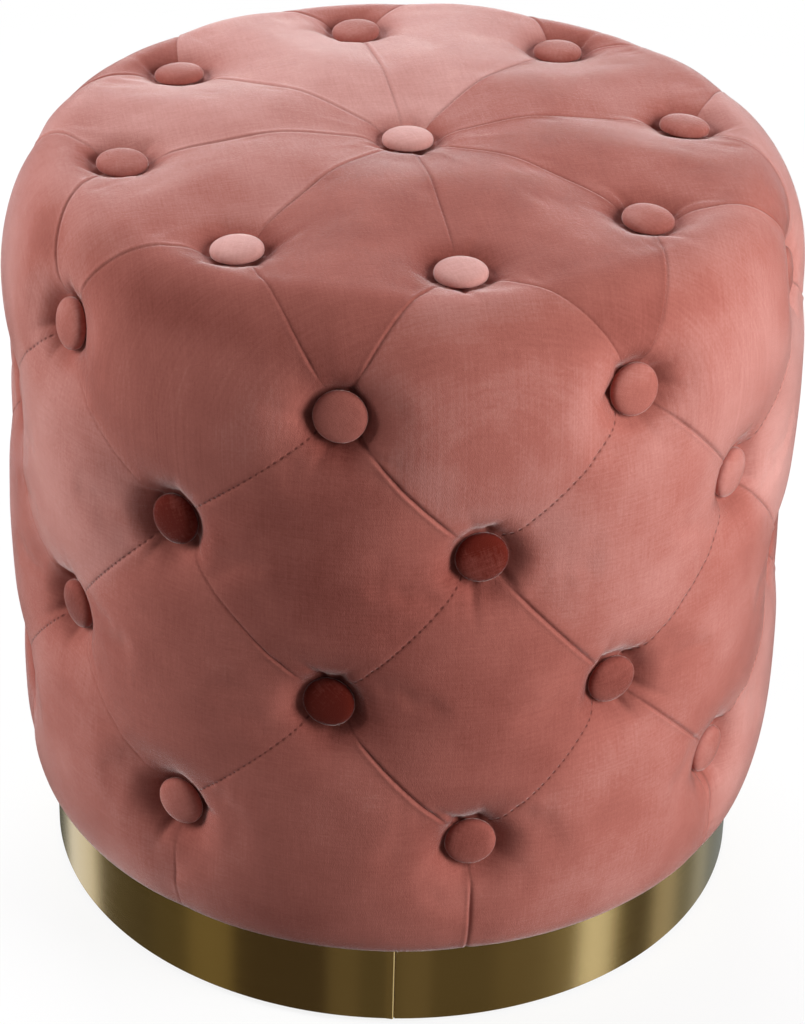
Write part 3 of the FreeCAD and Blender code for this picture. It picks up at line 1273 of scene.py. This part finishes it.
    @staticmethod
    def places(obj: Object, points: np.ndarray) -> np.ndarray:
        """Return the index of the vertex that lies on each point.

        Args:
            obj: The mesh object.
            points: The points.

        Returns:
            The vertices' indices.
        """
        tree = KDTree(len(obj.data.vertices))
        for vertex in obj.data.vertices:
            tree.insert(vertex.co, vertex.index)
        tree.balance()
        return np.array([tree.find(point)[1] for point in points.tolist()])

    @staticmethod
    def quads(panels: int, steps: int) -> np.ndarray:
        """Return the quads of a number of square grids, one after the other.

        Args:
            panels: How many grids there are.
            steps: The divisions of a grid's side.

        Returns:
            The indices of each quad's corners.
        """
        index = np.arange((steps + 1) ** 2).reshape(steps + 1, steps + 1)
        corners = [index[:-1, :-1], index[:-1, 1:], index[1:, 1:], index[1:, :-1]]
        one = np.stack(corners, axis=-1).reshape(-1, 4)
        return np.concatenate([one + count * (steps + 1) ** 2 for count in range(panels)])

    @staticmethod
    def new_object(title: str, points: np.ndarray, faces: np.ndarray) -> Object:
        """Make a mesh object of points and quads.

        Args:
            title: Its name.
            points: Its vertices.
            faces: Its quads.

        Returns:
            The object.
        """
        mesh = bpy.data.meshes.new(title)
        mesh.from_pydata(points.tolist(), [], faces.tolist())
        mesh.update()
        obj = bpy.data.objects.new(title, mesh)
        bpy.context.scene.collection.objects.link(obj)
        return obj

    def filled(self, panels: list[Panel]) -> np.ndarray:
        """Blow the cover up between its tufts as cloth, on a coarse copy of it.

        Args:
            panels: The panels.

        Returns:
            How far each panel's coarse grid moves.
        """
        filling = self.filling
        steps = filling.steps
        grids = [self.grid(panel, np.linspace(0.0, 1.0, steps + 1)) for panel in panels]
        spots = np.stack([grid.spots for grid in grids])
        depth = self.drawn_in(np.stack([grid.points for grid in grids]))
        share = np.clip(depth / filling.full_depth, 0.0, 1.0)
        full = self.form.at(spots[..., 0], spots[..., 1], depth)
        start = self.form.at(spots[..., 0], spots[..., 1], depth + filling.inset * (1 - share)).reshape(-1, 3)
        held = np.where(share > filling.held_share, 1.0, 0.0)
        edge = np.zeros((steps + 1, steps + 1))
        edge[0, :] = edge[-1, :] = edge[:, 0] = edge[:, -1] = 1.0
        held = np.maximum(held, edge[None] * filling.seam_hold)
        held[self.form.length - spots[..., 0] < filling.hem_strip] = 1.0
        obj = self.new_object("coarse_cover", start, self.quads(len(panels), steps))
        self.merge(obj)
        back = self.places(obj, start)
        firmness = np.zeros(len(obj.data.vertices))
        firmness[back] = held.reshape(-1)
        moved = filling.blow_up(obj, firmness)[back] - full.reshape(-1, 3)
        length = np.linalg.norm(moved, axis=1, keepdims=True)
        moved = moved * np.minimum(1.0, filling.cap / np.maximum(length, 1e-9))
        moves = 1000 * length
        log.info("filling: moved %.2f mm on average, %.2f mm at most", moves.mean(), moves.max())
        bpy.data.objects.remove(obj)
        return moved.reshape(full.shape) * ((1 - share) * self.above_hem(spots))[..., None]

    def spreading(self) -> np.ndarray:
        """Return the weights that carry a coarse grid's values onto the fine grid with a smooth curve.

        Returns:
            A row of weights for each division of the fine grid.
        """
        coarse = self.filling.steps
        shares = self.shares()
        weights = np.zeros((len(shares), coarse + 1))
        for row, share in enumerate(shares):
            start = min(int(share * coarse), coarse - 1)
            f = share * coarse - start
            parts = (-0.5 * f + f ** 2 - 0.5 * f ** 3, 1 - 2.5 * f ** 2 + 1.5 * f ** 3,
                     0.5 * f + 2 * f ** 2 - 1.5 * f ** 3, -0.5 * f ** 2 + 0.5 * f ** 3)
            for place, part in zip(range(start - 1, start + 3), parts):
                end = min(max(place, 0), coarse)
                inner = 1 if end == 0 else coarse - 1
                if place == end:
                    weights[row, place] += part
                else:
                    weights[row, end] += 2 * part
                    weights[row, inner] -= part
        return weights

    def mesh(self) -> Object:
        """Build the cover's mesh, with its seam and cloth attributes.

        Returns:
            The object.
        """
        panels = self.panels()
        moved = self.filled(panels)
        spread = self.spreading()
        brushed = self.brushed()
        points: list[np.ndarray] = []
        seams: list[np.ndarray] = []
        cloth: list[np.ndarray] = []
        for number, panel in enumerate(panels):
            grid = self.grid(panel, self.shares())
            folds = self.drawn_in(grid.points)
            sewn, marks = self.sewn(grid)
            fade = np.clip(1 - (folds - self.seam_fade_start) / self.seam_fade_width, 0.0, 1.0)
            above = self.above_hem(grid.spots)
            kept = self.hem_seams + (1 - self.hem_seams) * above
            depth = folds + sewn * fade * kept + self.hem_gather * (1 - above)
            place = self.form.at(grid.spots[..., 0], grid.spots[..., 1], depth)
            if moved is not None:
                place = place + np.einsum("ia,abk,jb->ijk", spread, moved[number], spread)
            points.append(place.reshape(-1, 3))
            seams.append(marks.reshape(-1, 4))
            cloth.append(self.weave(number, grid, brushed).reshape(-1, 3))
        faces = self.quads(len(panels), self.steps)
        obj = self.new_object("quilted_cover", np.concatenate(points), faces)
        corners = faces.reshape(-1)
        marks, weave = np.concatenate(seams)[corners], np.concatenate(cloth)[corners]
        for title, kind, key, values in (("seam", "FLOAT_VECTOR", "vector", marks[:, :3]),
                                         ("cloth", "FLOAT_VECTOR", "vector", weave),
                                         ("stitches", "FLOAT", "value", marks[:, 3])):
            layer = obj.data.attributes.new(title, kind, "CORNER")
            layer.data.foreach_set(key, values.astype(np.float32).reshape(-1))
        self.close(obj)
        return obj

    def close(self, obj: Object) -> None:
        """Join the panels, turn the hem in and close the underside.

        Args:
            obj: The cover.
        """
        self.merge(obj)
        bpy.ops.object.mode_set(mode="EDIT")
        bpy.ops.mesh.select_all(action="DESELECT")
        bpy.ops.mesh.select_mode(type="EDGE")
        bpy.ops.mesh.select_non_manifold(extend=False, use_wire=False, use_multi_face=False,
                                         use_non_contiguous=False, use_verts=False)
        for share in self.hem_turns:
            bpy.ops.mesh.extrude_edges_move()
            bpy.ops.transform.resize(value=(share, share, 1.0),
                                     center_override=(0.0, 0.0, self.form.meridian.hem_height))
        bpy.ops.mesh.extrude_edges_move()
        bpy.ops.mesh.merge(type="CENTER")
        bpy.ops.mesh.select_all(action="SELECT")
        bpy.ops.mesh.normals_make_consistent(inside=False)
        bpy.ops.object.mode_set(mode="OBJECT")
        bpy.ops.object.shade_smooth()

    def build(self, finish: Material) -> None:
        """Build the cover and dress it in a velvet.

        Args:
            finish: The velvet.
        """
        cover = self.mesh()
        cover.data.materials.append(finish)
        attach(cover, "root")
        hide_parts("velvet_cover")
        log.info("quilted cover: %d vertices", len(cover.data.vertices))


# Buttons


@dataclass
class CoveredButtons:
    """The velvet-covered buttons, shaped once and copied to every tuft.

    The rounds are the steps inward and upward by which the face rises to its dome.
    """

    form: Form
    tufting: Tufting
    radius: float = 0.0123
    rim: float = 0.0020
    rounds: tuple[tuple[float, float], ...] = (
        (0.0003, 0.0010), (0.0009, 0.0010), (0.0016, 0.0008),
        (0.0026, 0.0006), (0.0030, 0.0003), (0.0020, 0.0001),
    )
    back_inset: float = 0.0012
    sides: int = 40
    lift: float = 0.0002
    tilt: float = 4.0
    spin: float = 6.283
    end_normal: float = 0.9
    chance_tone: float = 0.05
    tones: dict[tuple[str, int], float] = field(default_factory=dict)
    seed: int = 5

    def shape(self) -> Object:
        """Shape one button at the origin, facing +Z.

        Returns:
            The button.
        """
        deselect()
        bpy.ops.mesh.primitive_cylinder_add(vertices=self.sides, radius=self.radius, depth=self.rim,
                                            end_fill_type="NGON", location=(0.0, 0.0, self.rim / 2))
        button = bpy.context.active_object
        bpy.ops.object.transform_apply(location=True, rotation=True, scale=True)
        pick(button, "FACE", lambda face: face.normal.z > self.end_normal)
        for inward, upward in self.rounds:
            bpy.ops.mesh.inset(thickness=inward, depth=0.0)
            bpy.ops.transform.translate(value=(0.0, 0.0, upward))
        bpy.ops.object.mode_set(mode="OBJECT")
        pick(button, "FACE", lambda face: face.normal.z < -self.end_normal)
        bpy.ops.mesh.inset(thickness=self.back_inset, depth=0.0)
        bpy.ops.object.mode_set(mode="OBJECT")
        smooth = button.modifiers.new("smooth", "SUBSURF")
        smooth.levels = smooth.render_levels = 1
        apply_modifiers(button)
        bpy.ops.object.shade_smooth()
        return button

    @staticmethod
    def copy(pattern: Object, tone: float) -> Object:
        """Copy the button with its own mesh, and lay its cloth.

        Args:
            pattern: The button at the origin.
            tone: How light the copy's pile looks.

        Returns:
            The copy.
        """
        button = bpy.data.objects.new("button", pattern.data.copy())
        bpy.context.scene.collection.objects.link(button)
        layer = button.data.attributes.new("cloth", "FLOAT_VECTOR", "POINT")
        for vertex, item in zip(button.data.vertices, layer.data):
            item.vector = (vertex.co.x, vertex.co.y, tone)
        return button

    def seat(self, button: Object, tuft: Tuft, dice: np.random.Generator) -> None:
        """Move a button's mesh to its tuft, a little tilted and turned.

        Args:
            button: The button at the origin.
            tuft: The tuft.
            dice: Where the tilt and the turn come from.
        """
        facing = self.form.facing(tuft.distance, tuft.angle)
        back = self.form.at(np.array(tuft.distance), np.array(tuft.angle), tuft.depth)
        place = Matrix.Translation(Vector(back) + facing * self.lift)
        lean = math.radians(self.tilt)
        over, aside = (Matrix.Rotation(dice.uniform(-lean, lean), 4, axis) for axis in "XY")
        turn = over @ aside @ Matrix.Rotation(dice.uniform(0, self.spin), 4, "Z")
        button.data.transform(place @ facing.to_track_quat("Z", "Y").to_matrix().to_4x4() @ turn)

    def build_row(self, title: str, tufts: list[Tuft], node: str, finish: Material, pattern: Object,
                  dice: np.random.Generator) -> None:
        """Copy the button to each tuft of a row and join the copies.

        Args:
            title: The piece's name.
            tufts: The tufts of the row.
            node: The node that the piece stands for.
            finish: The velvet.
            pattern: The button at the origin.
            dice: Where tones, tilts and turns come from.
        """
        copies = []
        for place, tuft in enumerate(tufts):
            chance = dice.uniform(-self.chance_tone, self.chance_tone)
            # The tone is partly the pile's nap and partly painted light and shade.
            button = self.copy(pattern, self.tones.get((node, place), 0.0) + chance)
            self.seat(button, tuft, dice)
            copies.append(button)
        deselect()
        for button in copies:
            button.select_set(True)
        bpy.context.view_layer.objects.active = copies[0]
        bpy.ops.object.join()
        row = bpy.context.view_layer.objects.active
        row.name = title
        row.data.materials.clear()
        row.data.materials.append(finish)
        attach(row, "root")
        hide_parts(node)
        log.info("%s: %d buttons", title, len(tufts))

    def build(self, finish: Material) -> None:
        """Build every row of buttons.

        Args:
            finish: The velvet.
        """
        dice = np.random.default_rng(self.seed)
        pattern = self.shape()
        seat = [self.tufting.middle] + self.tufting.ring
        self.build_row("covered_seat_buttons", seat, "seat_buttons", finish, pattern, dice)
        for number, row in enumerate(self.tufting.rows, start=1):
            title = "covered_side_buttons_%d" % number
            node = "side_row_%d_buttons" % number
            self.build_row(title, row, node, finish, pattern, dice)
        bpy.data.objects.remove(pattern)


# Band and carried pieces


@dataclass
class BrushedBand:
    """The rolled steel strip round the plinth, with softened edges and one butt seam."""

    thickness: float = 0.0008
    seam_angle: float = -10.6
    seam_gap: float = 0.0003
    ridge_width: float = 0.0009
    ridge_height: float = 0.0006
    edge_round: float = 0.00025
    edge_angle: float = 50.0
    smooth_angle: float = 12.0
    sides: int = 256
    reach: float = 0.0005
    ridge_reach: float = 0.004
    crease_reach: float = 0.0003

    def build(self, finish: Material) -> None:
        """Build the band and dress it.

        Args:
            finish: The brushed metal.
        """
        low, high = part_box("trim_band")
        radius = high[0]
        turn = math.radians(self.seam_angle + 180.0)
        deselect()
        bpy.ops.mesh.primitive_cylinder_add(
            vertices=self.sides, radius=radius, depth=high[2] - low[2], end_fill_type="NOTHING",
            location=(0.0, 0.0, (high[2] + low[2]) / 2), rotation=(0.0, 0.0, turn))
        band = bpy.context.active_object
        band.name = "brushed_band"
        bpy.ops.object.transform_apply(location=True, rotation=True, scale=True)
        seam = polar(radius, self.seam_angle, 0.0)
        across = Vector((-seam.y, seam.x, 0.0)).normalized()
        self.split(band, seam, across)
        self.raise_ridge(band, seam, across)
        wall = band.modifiers.new("wall", "SOLIDIFY")
        wall.thickness = self.thickness
        wall.offset = -1.0
        soft = band.modifiers.new("soft edges", "BEVEL")
        soft.width = self.edge_round
        soft.segments = 3
        soft.limit_method = "ANGLE"
        soft.angle_limit = math.radians(self.edge_angle)
        apply_modifiers(band)
        bpy.ops.object.shade_smooth_by_angle(angle=math.radians(self.smooth_angle))
        band.data.materials.append(finish)
        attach(band, "root")
        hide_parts("trim_band")
        log.info("brushed band: %d faces", len(band.data.polygons))

    def split(self, band: Object, seam: Vector, across: Vector) -> None:
        """Open the ring at the seam and draw its two ends apart.

        Args:
            band: The band before it gets its wall.
            seam: The seam's place on the band, at height 0.
            across: The direction across the seam, to the right.
        """
        mesh = band.data

        def at_seam(index: int) -> bool:
            """Tell whether a vertex lies on the seam."""
            return (level(mesh.vertices[index].co) - seam).length < self.reach

        pick(band, "EDGE", lambda edge: all(at_seam(index) for index in edge.vertices))
        bpy.ops.mesh.edge_split(type="EDGE")
        bpy.ops.object.mode_set(mode="OBJECT")
        for face in mesh.polygons:
            side = 1.0 if (face.center - seam).dot(across) > 0 else -1.0
            for index in face.vertices:
                if at_seam(index):
                    mesh.vertices[index].co += across * side * self.seam_gap / 2

    def raise_ridge(self, band: Object, seam: Vector, across: Vector) -> None:
        """Bend the strip's left end out a little beside the seam, where it catches the light.

        Args:
            band: The band before it gets its wall.
            seam: The seam's place on the band, at height 0.
            across: The direction across the seam, to the right.
        """
        crease = seam - across * self.ridge_width

        def left_of_seam(face: bpy.types.MeshPolygon) -> bool:
            """Tell whether a face is the last one on the seam's left."""
            middle = level(face.center) - seam
            return middle.length < self.ridge_reach and middle.dot(across) < 0

        pick(band, "FACE", left_of_seam)
        bpy.ops.mesh.bisect(plane_co=crease, plane_no=across)
        bpy.ops.object.mode_set(mode="OBJECT")
        for vertex in band.data.vertices:
            if (level(vertex.co) - crease).length < self.crease_reach:
                vertex.co += seam.normalized() * self.ridge_height


@dataclass
class CarriedPieces:
    """The solids that keep their own shape: plinth, boards, posts, wall, foam, cloth, twine and nylon."""

    nodes: dict[str, Object]

    def dress(self, grain: bpy.types.NodeTree) -> None:
        """Give each carried solid its finish.

        Args:
            grain: The grain group.
        """
        finishes = {
            GrainFinish("pressed board", (0.36, 0.24, 0.13), (0.62, 0.47, 0.30), 0.006):
                ("plinth_ring", "base_board", "seat_board"),
            GrainFinish("bent plywood", (0.50, 0.34, 0.19), (0.72, 0.55, 0.36), 0.05, (1.0, 1.0, 0.08)):
                ("drum_wall",),
            GrainFinish("sawn pine", (0.48, 0.31, 0.15), (0.70, 0.52, 0.32), 0.012, (1.0, 1.0, 0.06)):
                ("frame_posts",),
            # Painted shade: the foam is a dark rose so that where it shows beside a button it reads as the
            # shade in the pocket.
            GrainFinish("foam darkened as pocket shade", (0.26, 0.075, 0.055), (0.36, 0.115, 0.088), 0.003,
                        depth=0.0006):
                ("side_foam", "seat_foam"),
            GrainFinish("dust cloth", (0.010, 0.010, 0.011), (0.045, 0.045, 0.047), 0.0015):
                ("dust_cover",),
            GrainFinish("waxed twine", (0.45, 0.40, 0.32), (0.66, 0.61, 0.52), 0.0012):
                ("seat_twines",),
            GrainFinish("moulded nylon", (0.018, 0.018, 0.018), (0.040, 0.040, 0.042), 0.002, roughness=0.5):
                ("twine_toggles", "glides"),
        }
        for finish, names in finishes.items():
            material = finish.make(grain)
            for name in names:
                obj = self.nodes[name]
                if not obj.material_slots:
                    obj.data.materials.append(material)
                for slot in obj.material_slots:
                    slot.material = material
                log.info("%s: %s", name, finish.name)


# Studio


@dataclass(frozen=True)
class ReflectionCard:
    """A tall dim card that the metal mirrors: the angles where it starts and ends, and its colour."""

    start: float
    end: float
    glow: Triple


@dataclass(frozen=True)
class SoftLamp:
    """A soft area lamp turned to the stool: its direction, reach, size, power and colour."""

    title: str
    azimuth: float
    elevation: float
    reach: float
    size: tuple[float, float]
    power: float
    colour: Triple = (1.0, 1.0, 1.0)


@dataclass
class Studio:
    """The pale floor, the soft lamps, the cards that the metal mirrors and the camera of the photograph."""

    azimuth: float = -11.77
    distance: float = 1.3625
    height: float = 1.0278
    pitch: float = 31.73
    yaw: float = 0.08
    roll: float = 1.43
    lens: float = 110.8
    sensor: float = 36.0
    aim: Triple = (0.0, 0.0, 0.2)
    soft_light: Colour = (0.075, 0.075, 0.080, 1.0)
    floor_size: float = 12.0
    floor_paint: tuple[float, float] = (0.42, 0.95)
    floor_glow: tuple[float, float] = (0.86, 1.0)
    floor_fade: tuple[float, float] = (0.5, 1.1)
    card_reach: float = 1.6
    card_span: tuple[float, float] = (-5.0, 1.2)
    cards: tuple[ReflectionCard, ...] = (
        ReflectionCard(-126.5, -124.0, (0.450, 0.420, 0.340)),
        ReflectionCard(-124.0, -95.0, (0.090, 0.073, 0.043)),
        ReflectionCard(-95.0, -80.0, (0.125, 0.102, 0.058)),
        ReflectionCard(-80.0, -63.0, (0.240, 0.195, 0.105)),
        ReflectionCard(-63.0, -31.0, (0.080, 0.060, 0.040)),
        ReflectionCard(-31.0, -21.0, (0.175, 0.142, 0.092)),
        ReflectionCard(-21.0, -8.0, (0.130, 0.106, 0.067)),
        ReflectionCard(-8.0, 2.0, (0.190, 0.154, 0.100)),
        ReflectionCard(2.0, 23.0, (0.135, 0.108, 0.067)),
        ReflectionCard(23.0, 41.0, (0.170, 0.136, 0.084)),
        ReflectionCard(41.0, 52.5, (0.210, 0.172, 0.105)),
        ReflectionCard(65.5, 68.5, (0.450, 0.400, 0.290)),
        ReflectionCard(68.5, 85.0, (0.085, 0.067, 0.042)),
        ReflectionCard(85.0, 98.0, (0.560, 0.520, 0.440)),
        ReflectionCard(98.0, 110.0, (0.230, 0.230, 0.200)),
        ReflectionCard(110.0, 121.0, (0.470, 0.490, 0.480)),
        ReflectionCard(121.0, 158.0, (0.260, 0.290, 0.300)),
        ReflectionCard(158.0, 199.0, (0.050, 0.060, 0.058)),
        ReflectionCard(199.0, 206.0, (0.200, 0.210, 0.190)),
        ReflectionCard(206.0, 210.0, (0.500, 0.500, 0.450)),
    )
    lamps: tuple[SoftLamp, ...] = (
        SoftLamp("right softbox", 49.0, 22.0, 1.7, (0.8, 1.3), 33.0),
        SoftLamp("left softbox", -106.0, 20.0, 1.7, (0.7, 1.3), 28.0),
        SoftLamp("back softbox", 176.0, 38.0, 1.8, (1.2, 1.0), 28.0, (0.86, 0.93, 1.0)),
    )

    def set_camera(self) -> None:
        """Set the camera where the photograph was taken from."""
        deselect()
        pitch, yaw, roll = (math.radians(value) for value in (self.pitch, self.yaw, self.roll))
        forward = Vector((math.sin(yaw) * math.cos(pitch), math.cos(yaw) * math.cos(pitch), -math.sin(pitch)))
        right = forward.cross(Vector((0, 0, 1))).normalized()
        up = right.cross(forward)
        tilted_right = right * math.cos(roll) + up * math.sin(roll)
        tilted_up = up * math.cos(roll) - right * math.sin(roll)
        turn = Matrix.Rotation(math.radians(self.azimuth), 4, "Z")
        axes = Matrix((tilted_right, tilted_up, -forward)).transposed().to_4x4()
        data = bpy.data.cameras.new("studio camera")
        data.sensor_fit = "VERTICAL"
        data.sensor_height = self.sensor
        data.lens = self.lens
        camera = bpy.data.objects.new("studio camera", data)
        camera.matrix_world = turn @ Matrix.Translation((0.0, -self.distance, self.height)) @ axes
        bpy.context.scene.collection.objects.link(camera)
        bpy.context.scene.camera = camera

    def hang(self, lamp: SoftLamp) -> None:
        """Hang a lamp.

        Args:
            lamp: The lamp.
        """
        data = bpy.data.lights.new(lamp.title, "AREA")
        data.shape = "RECTANGLE"
        data.size, data.size_y = lamp.size
        data.energy = lamp.power
        data.color = lamp.colour
        obj = bpy.data.objects.new(lamp.title, data)
        rise = math.radians(lamp.elevation)
        aim = Vector(self.aim)
        obj.location = aim + polar(lamp.reach * math.cos(rise), lamp.azimuth, lamp.reach * math.sin(rise))
        obj.rotation_euler = (aim - obj.location).to_track_quat("-Z", "Y").to_euler()
        bpy.context.scene.collection.objects.link(obj)

    @staticmethod
    def plane(name: str, size: float) -> Object:
        """Add a plane at the origin, facing up.

        Args:
            name: The plane's name.
            size: The length of its sides.

        Returns:
            The plane.
        """
        deselect()
        bpy.ops.mesh.primitive_plane_add(size=size, location=(0.0, 0.0, 0.0))
        plane = bpy.context.active_object
        plane.name = name
        return plane

    def lay_floor(self) -> None:
        """Lay the pale floor, which keeps the stool's soft shadow and is plain white farther out."""
        plane = self.plane("studio_floor", self.floor_size)
        plane.visible_glossy = False
        shader = Shader("pale floor")
        seen = shader.node("ShaderNodeLightPath").outputs["Is Camera Ray"]
        diffuse = shader.node("ShaderNodeBsdfDiffuse")
        dim, pale = ((paint, paint, paint, 1.0) for paint in self.floor_paint)
        shader.feed(diffuse.inputs["Color"], shader.mix(seen, dim, pale))
        reach = shader.node("ShaderNodeVectorMath", operation="LENGTH")
        shader.feed(reach.inputs[0], shader.place())
        whiter = shader.ramp(reach.outputs["Value"], *self.floor_fade, *self.floor_glow)
        mix = shader.node("ShaderNodeMixShader")
        shader.feed(mix.inputs[0], shader.math("MULTIPLY", seen, whiter))
        shader.feed(mix.inputs[1], diffuse.outputs[0])
        shader.feed(mix.inputs[2], shader.node("ShaderNodeEmission").outputs[0])
        shader.surface(mix.outputs[0])
        plane.data.materials.append(shader.material)

    def stand_card(self, number: int, card: ReflectionCard) -> None:
        """Stand a tall dim card beside the set that only the metal's reflections see.

        Args:
            number: The card's number.
            card: The card.
        """
        plane = self.plane("reflection_card_%d" % number, 1.0)
        low, high = self.card_span
        half = math.radians(card.end - card.start) / 2
        middle = polar(self.card_reach * math.cos(half), (card.start + card.end) / 2, (low + high) / 2)
        width = 2 * self.card_reach * math.sin(half)
        facing = (-level(middle)).to_track_quat("Z", "Y").to_matrix().to_4x4()
        size = Matrix.Diagonal((width, high - low, 1.0, 1.0))
        plane.data.transform(Matrix.Translation(middle) @ facing @ size)
        for ray in ("camera", "diffuse", "shadow", "transmission"):
            setattr(plane, "visible_" + ray, False)
        shader = Shader("dim card %d" % number)
        glow = shader.node("ShaderNodeEmission")
        shader.feed(glow.inputs["Color"], (*card.glow, 1.0))
        shader.surface(glow.outputs[0])
        plane.data.materials.append(shader.material)

    def surround(self) -> None:
        """Make the surroundings: white to the camera and to metal, with a little soft light on the stool."""
        world = bpy.data.worlds.new("studio")
        bpy.context.scene.world = world
        world.use_nodes = True
        nodes = Nodes(world.node_tree)
        rays = nodes.node("ShaderNodeLightPath").outputs
        seen = nodes.math("MAXIMUM", rays["Is Camera Ray"], rays["Is Glossy Ray"])
        seen = nodes.math("MAXIMUM", seen, rays["Is Transmission Ray"])
        white = nodes.mix(seen, self.soft_light, (1.0, 1.0, 1.0, 1.0))
        nodes.feed(nodes.tree.nodes["Background"].inputs["Color"], white)

    def build(self) -> None:
        """Set up the whole studio."""
        self.set_camera()
        self.lay_floor()
        self.surround()
        for number, card in enumerate(self.cards, start=1):
            self.stand_card(number, card)
        for lamp in self.lamps:
            self.hang(lamp)
        bpy.context.scene.view_settings.view_transform = "Standard"
        log.info("studio: camera, floor, %d lamps and %d cards", len(self.lamps), len(self.cards))


# Assembly

DRIFT: dict[tuple[str, int], tuple[float, float]] = {
    ("row 1", 7): (0.0005, 2.4), ("row 3", 7): (-0.0008, 1.4), ("row 3", 0): (0.0015, -1.0),
    ("ring", 0): (-0.0030, -1.0), ("ring", 1): (-0.0035, -0.6),
}
# Panel tones, partly the pile's brushing and partly painted light and shade: the back of the seat and the
# panels to the right are lighter, those at the front and front left darker.
PANEL_NAP_AND_LIGHT_TONES: dict[tuple[PanelKind, int], float] = {
    (kind, index): tone
    for kind, tones in {
        PanelKind.SEAT: {7: -0.08, 0: -0.05, 6: 0.10, 5: 0.20, 4: 0.30, 3: 0.30, 2: 0.04, 1: -0.02},
        PanelKind.SHOULDER: {7: -0.05, 0: 0.07, 1: 0.13, 6: 0.08, 2: 0.24},
        PanelKind.UPPER: {7: -0.17, 0: 0.09, 1: 0.26, 6: 0.15},
        PanelKind.LOWER: {0: -0.15, 7: -0.05, 1: 0.02},
        PanelKind.SKIRT: {7: -0.06, 0: 0.03, 6: 0.03, 1: 0.16},
    }.items()
    for index, tone in tones.items()
}
# Button tones, partly the pile's nap and partly painted light and shade: the seat's buttons are painted
# lighter, the side buttons in shade darker.
BUTTON_NAP_AND_LIGHT_TONES: dict[tuple[str, int], float] = {
    (node, index): tone
    for node, tones in {
        "seat_buttons": {0: 0.40, 1: 0.46, 8: 0.46, 2: 0.10},
        "side_row_1_buttons": {0: -0.06},
        "side_row_2_buttons": {0: -0.50, 7: -0.50, 1: 0.10},
        "side_row_3_buttons": {7: -0.54, 0: -0.26, 6: -0.26},
        "side_row_4_buttons": {0: -0.18, 7: 0.04},
    }.items()
    for index, tone in tones.items()
}


def main() -> None:
    """Build and dress the stool, then set up the studio."""
    form = Form()
    tufting = Tufting(form, drift=DRIFT)
    pile = PileTexture().make()
    grain = GrainTexture().make()
    cover_velvet = VelvetFinish("dusty rose velvet").for_cover(pile)
    button_velvet = VelvetFinish("dusty rose velvet on buttons", patch=0.02).for_buttons(pile)
    QuiltedCover(form, tufting, tones=PANEL_NAP_AND_LIGHT_TONES).build(cover_velvet)
    CoveredButtons(form, tufting, tones=BUTTON_NAP_AND_LIGHT_TONES).build(button_velvet)
    BrushedBand().build(BandFinish().make())
    CarriedPieces(frame["nodes"]).dress(grain)
    Studio().build()


if __name__ == "__main__":
    main()
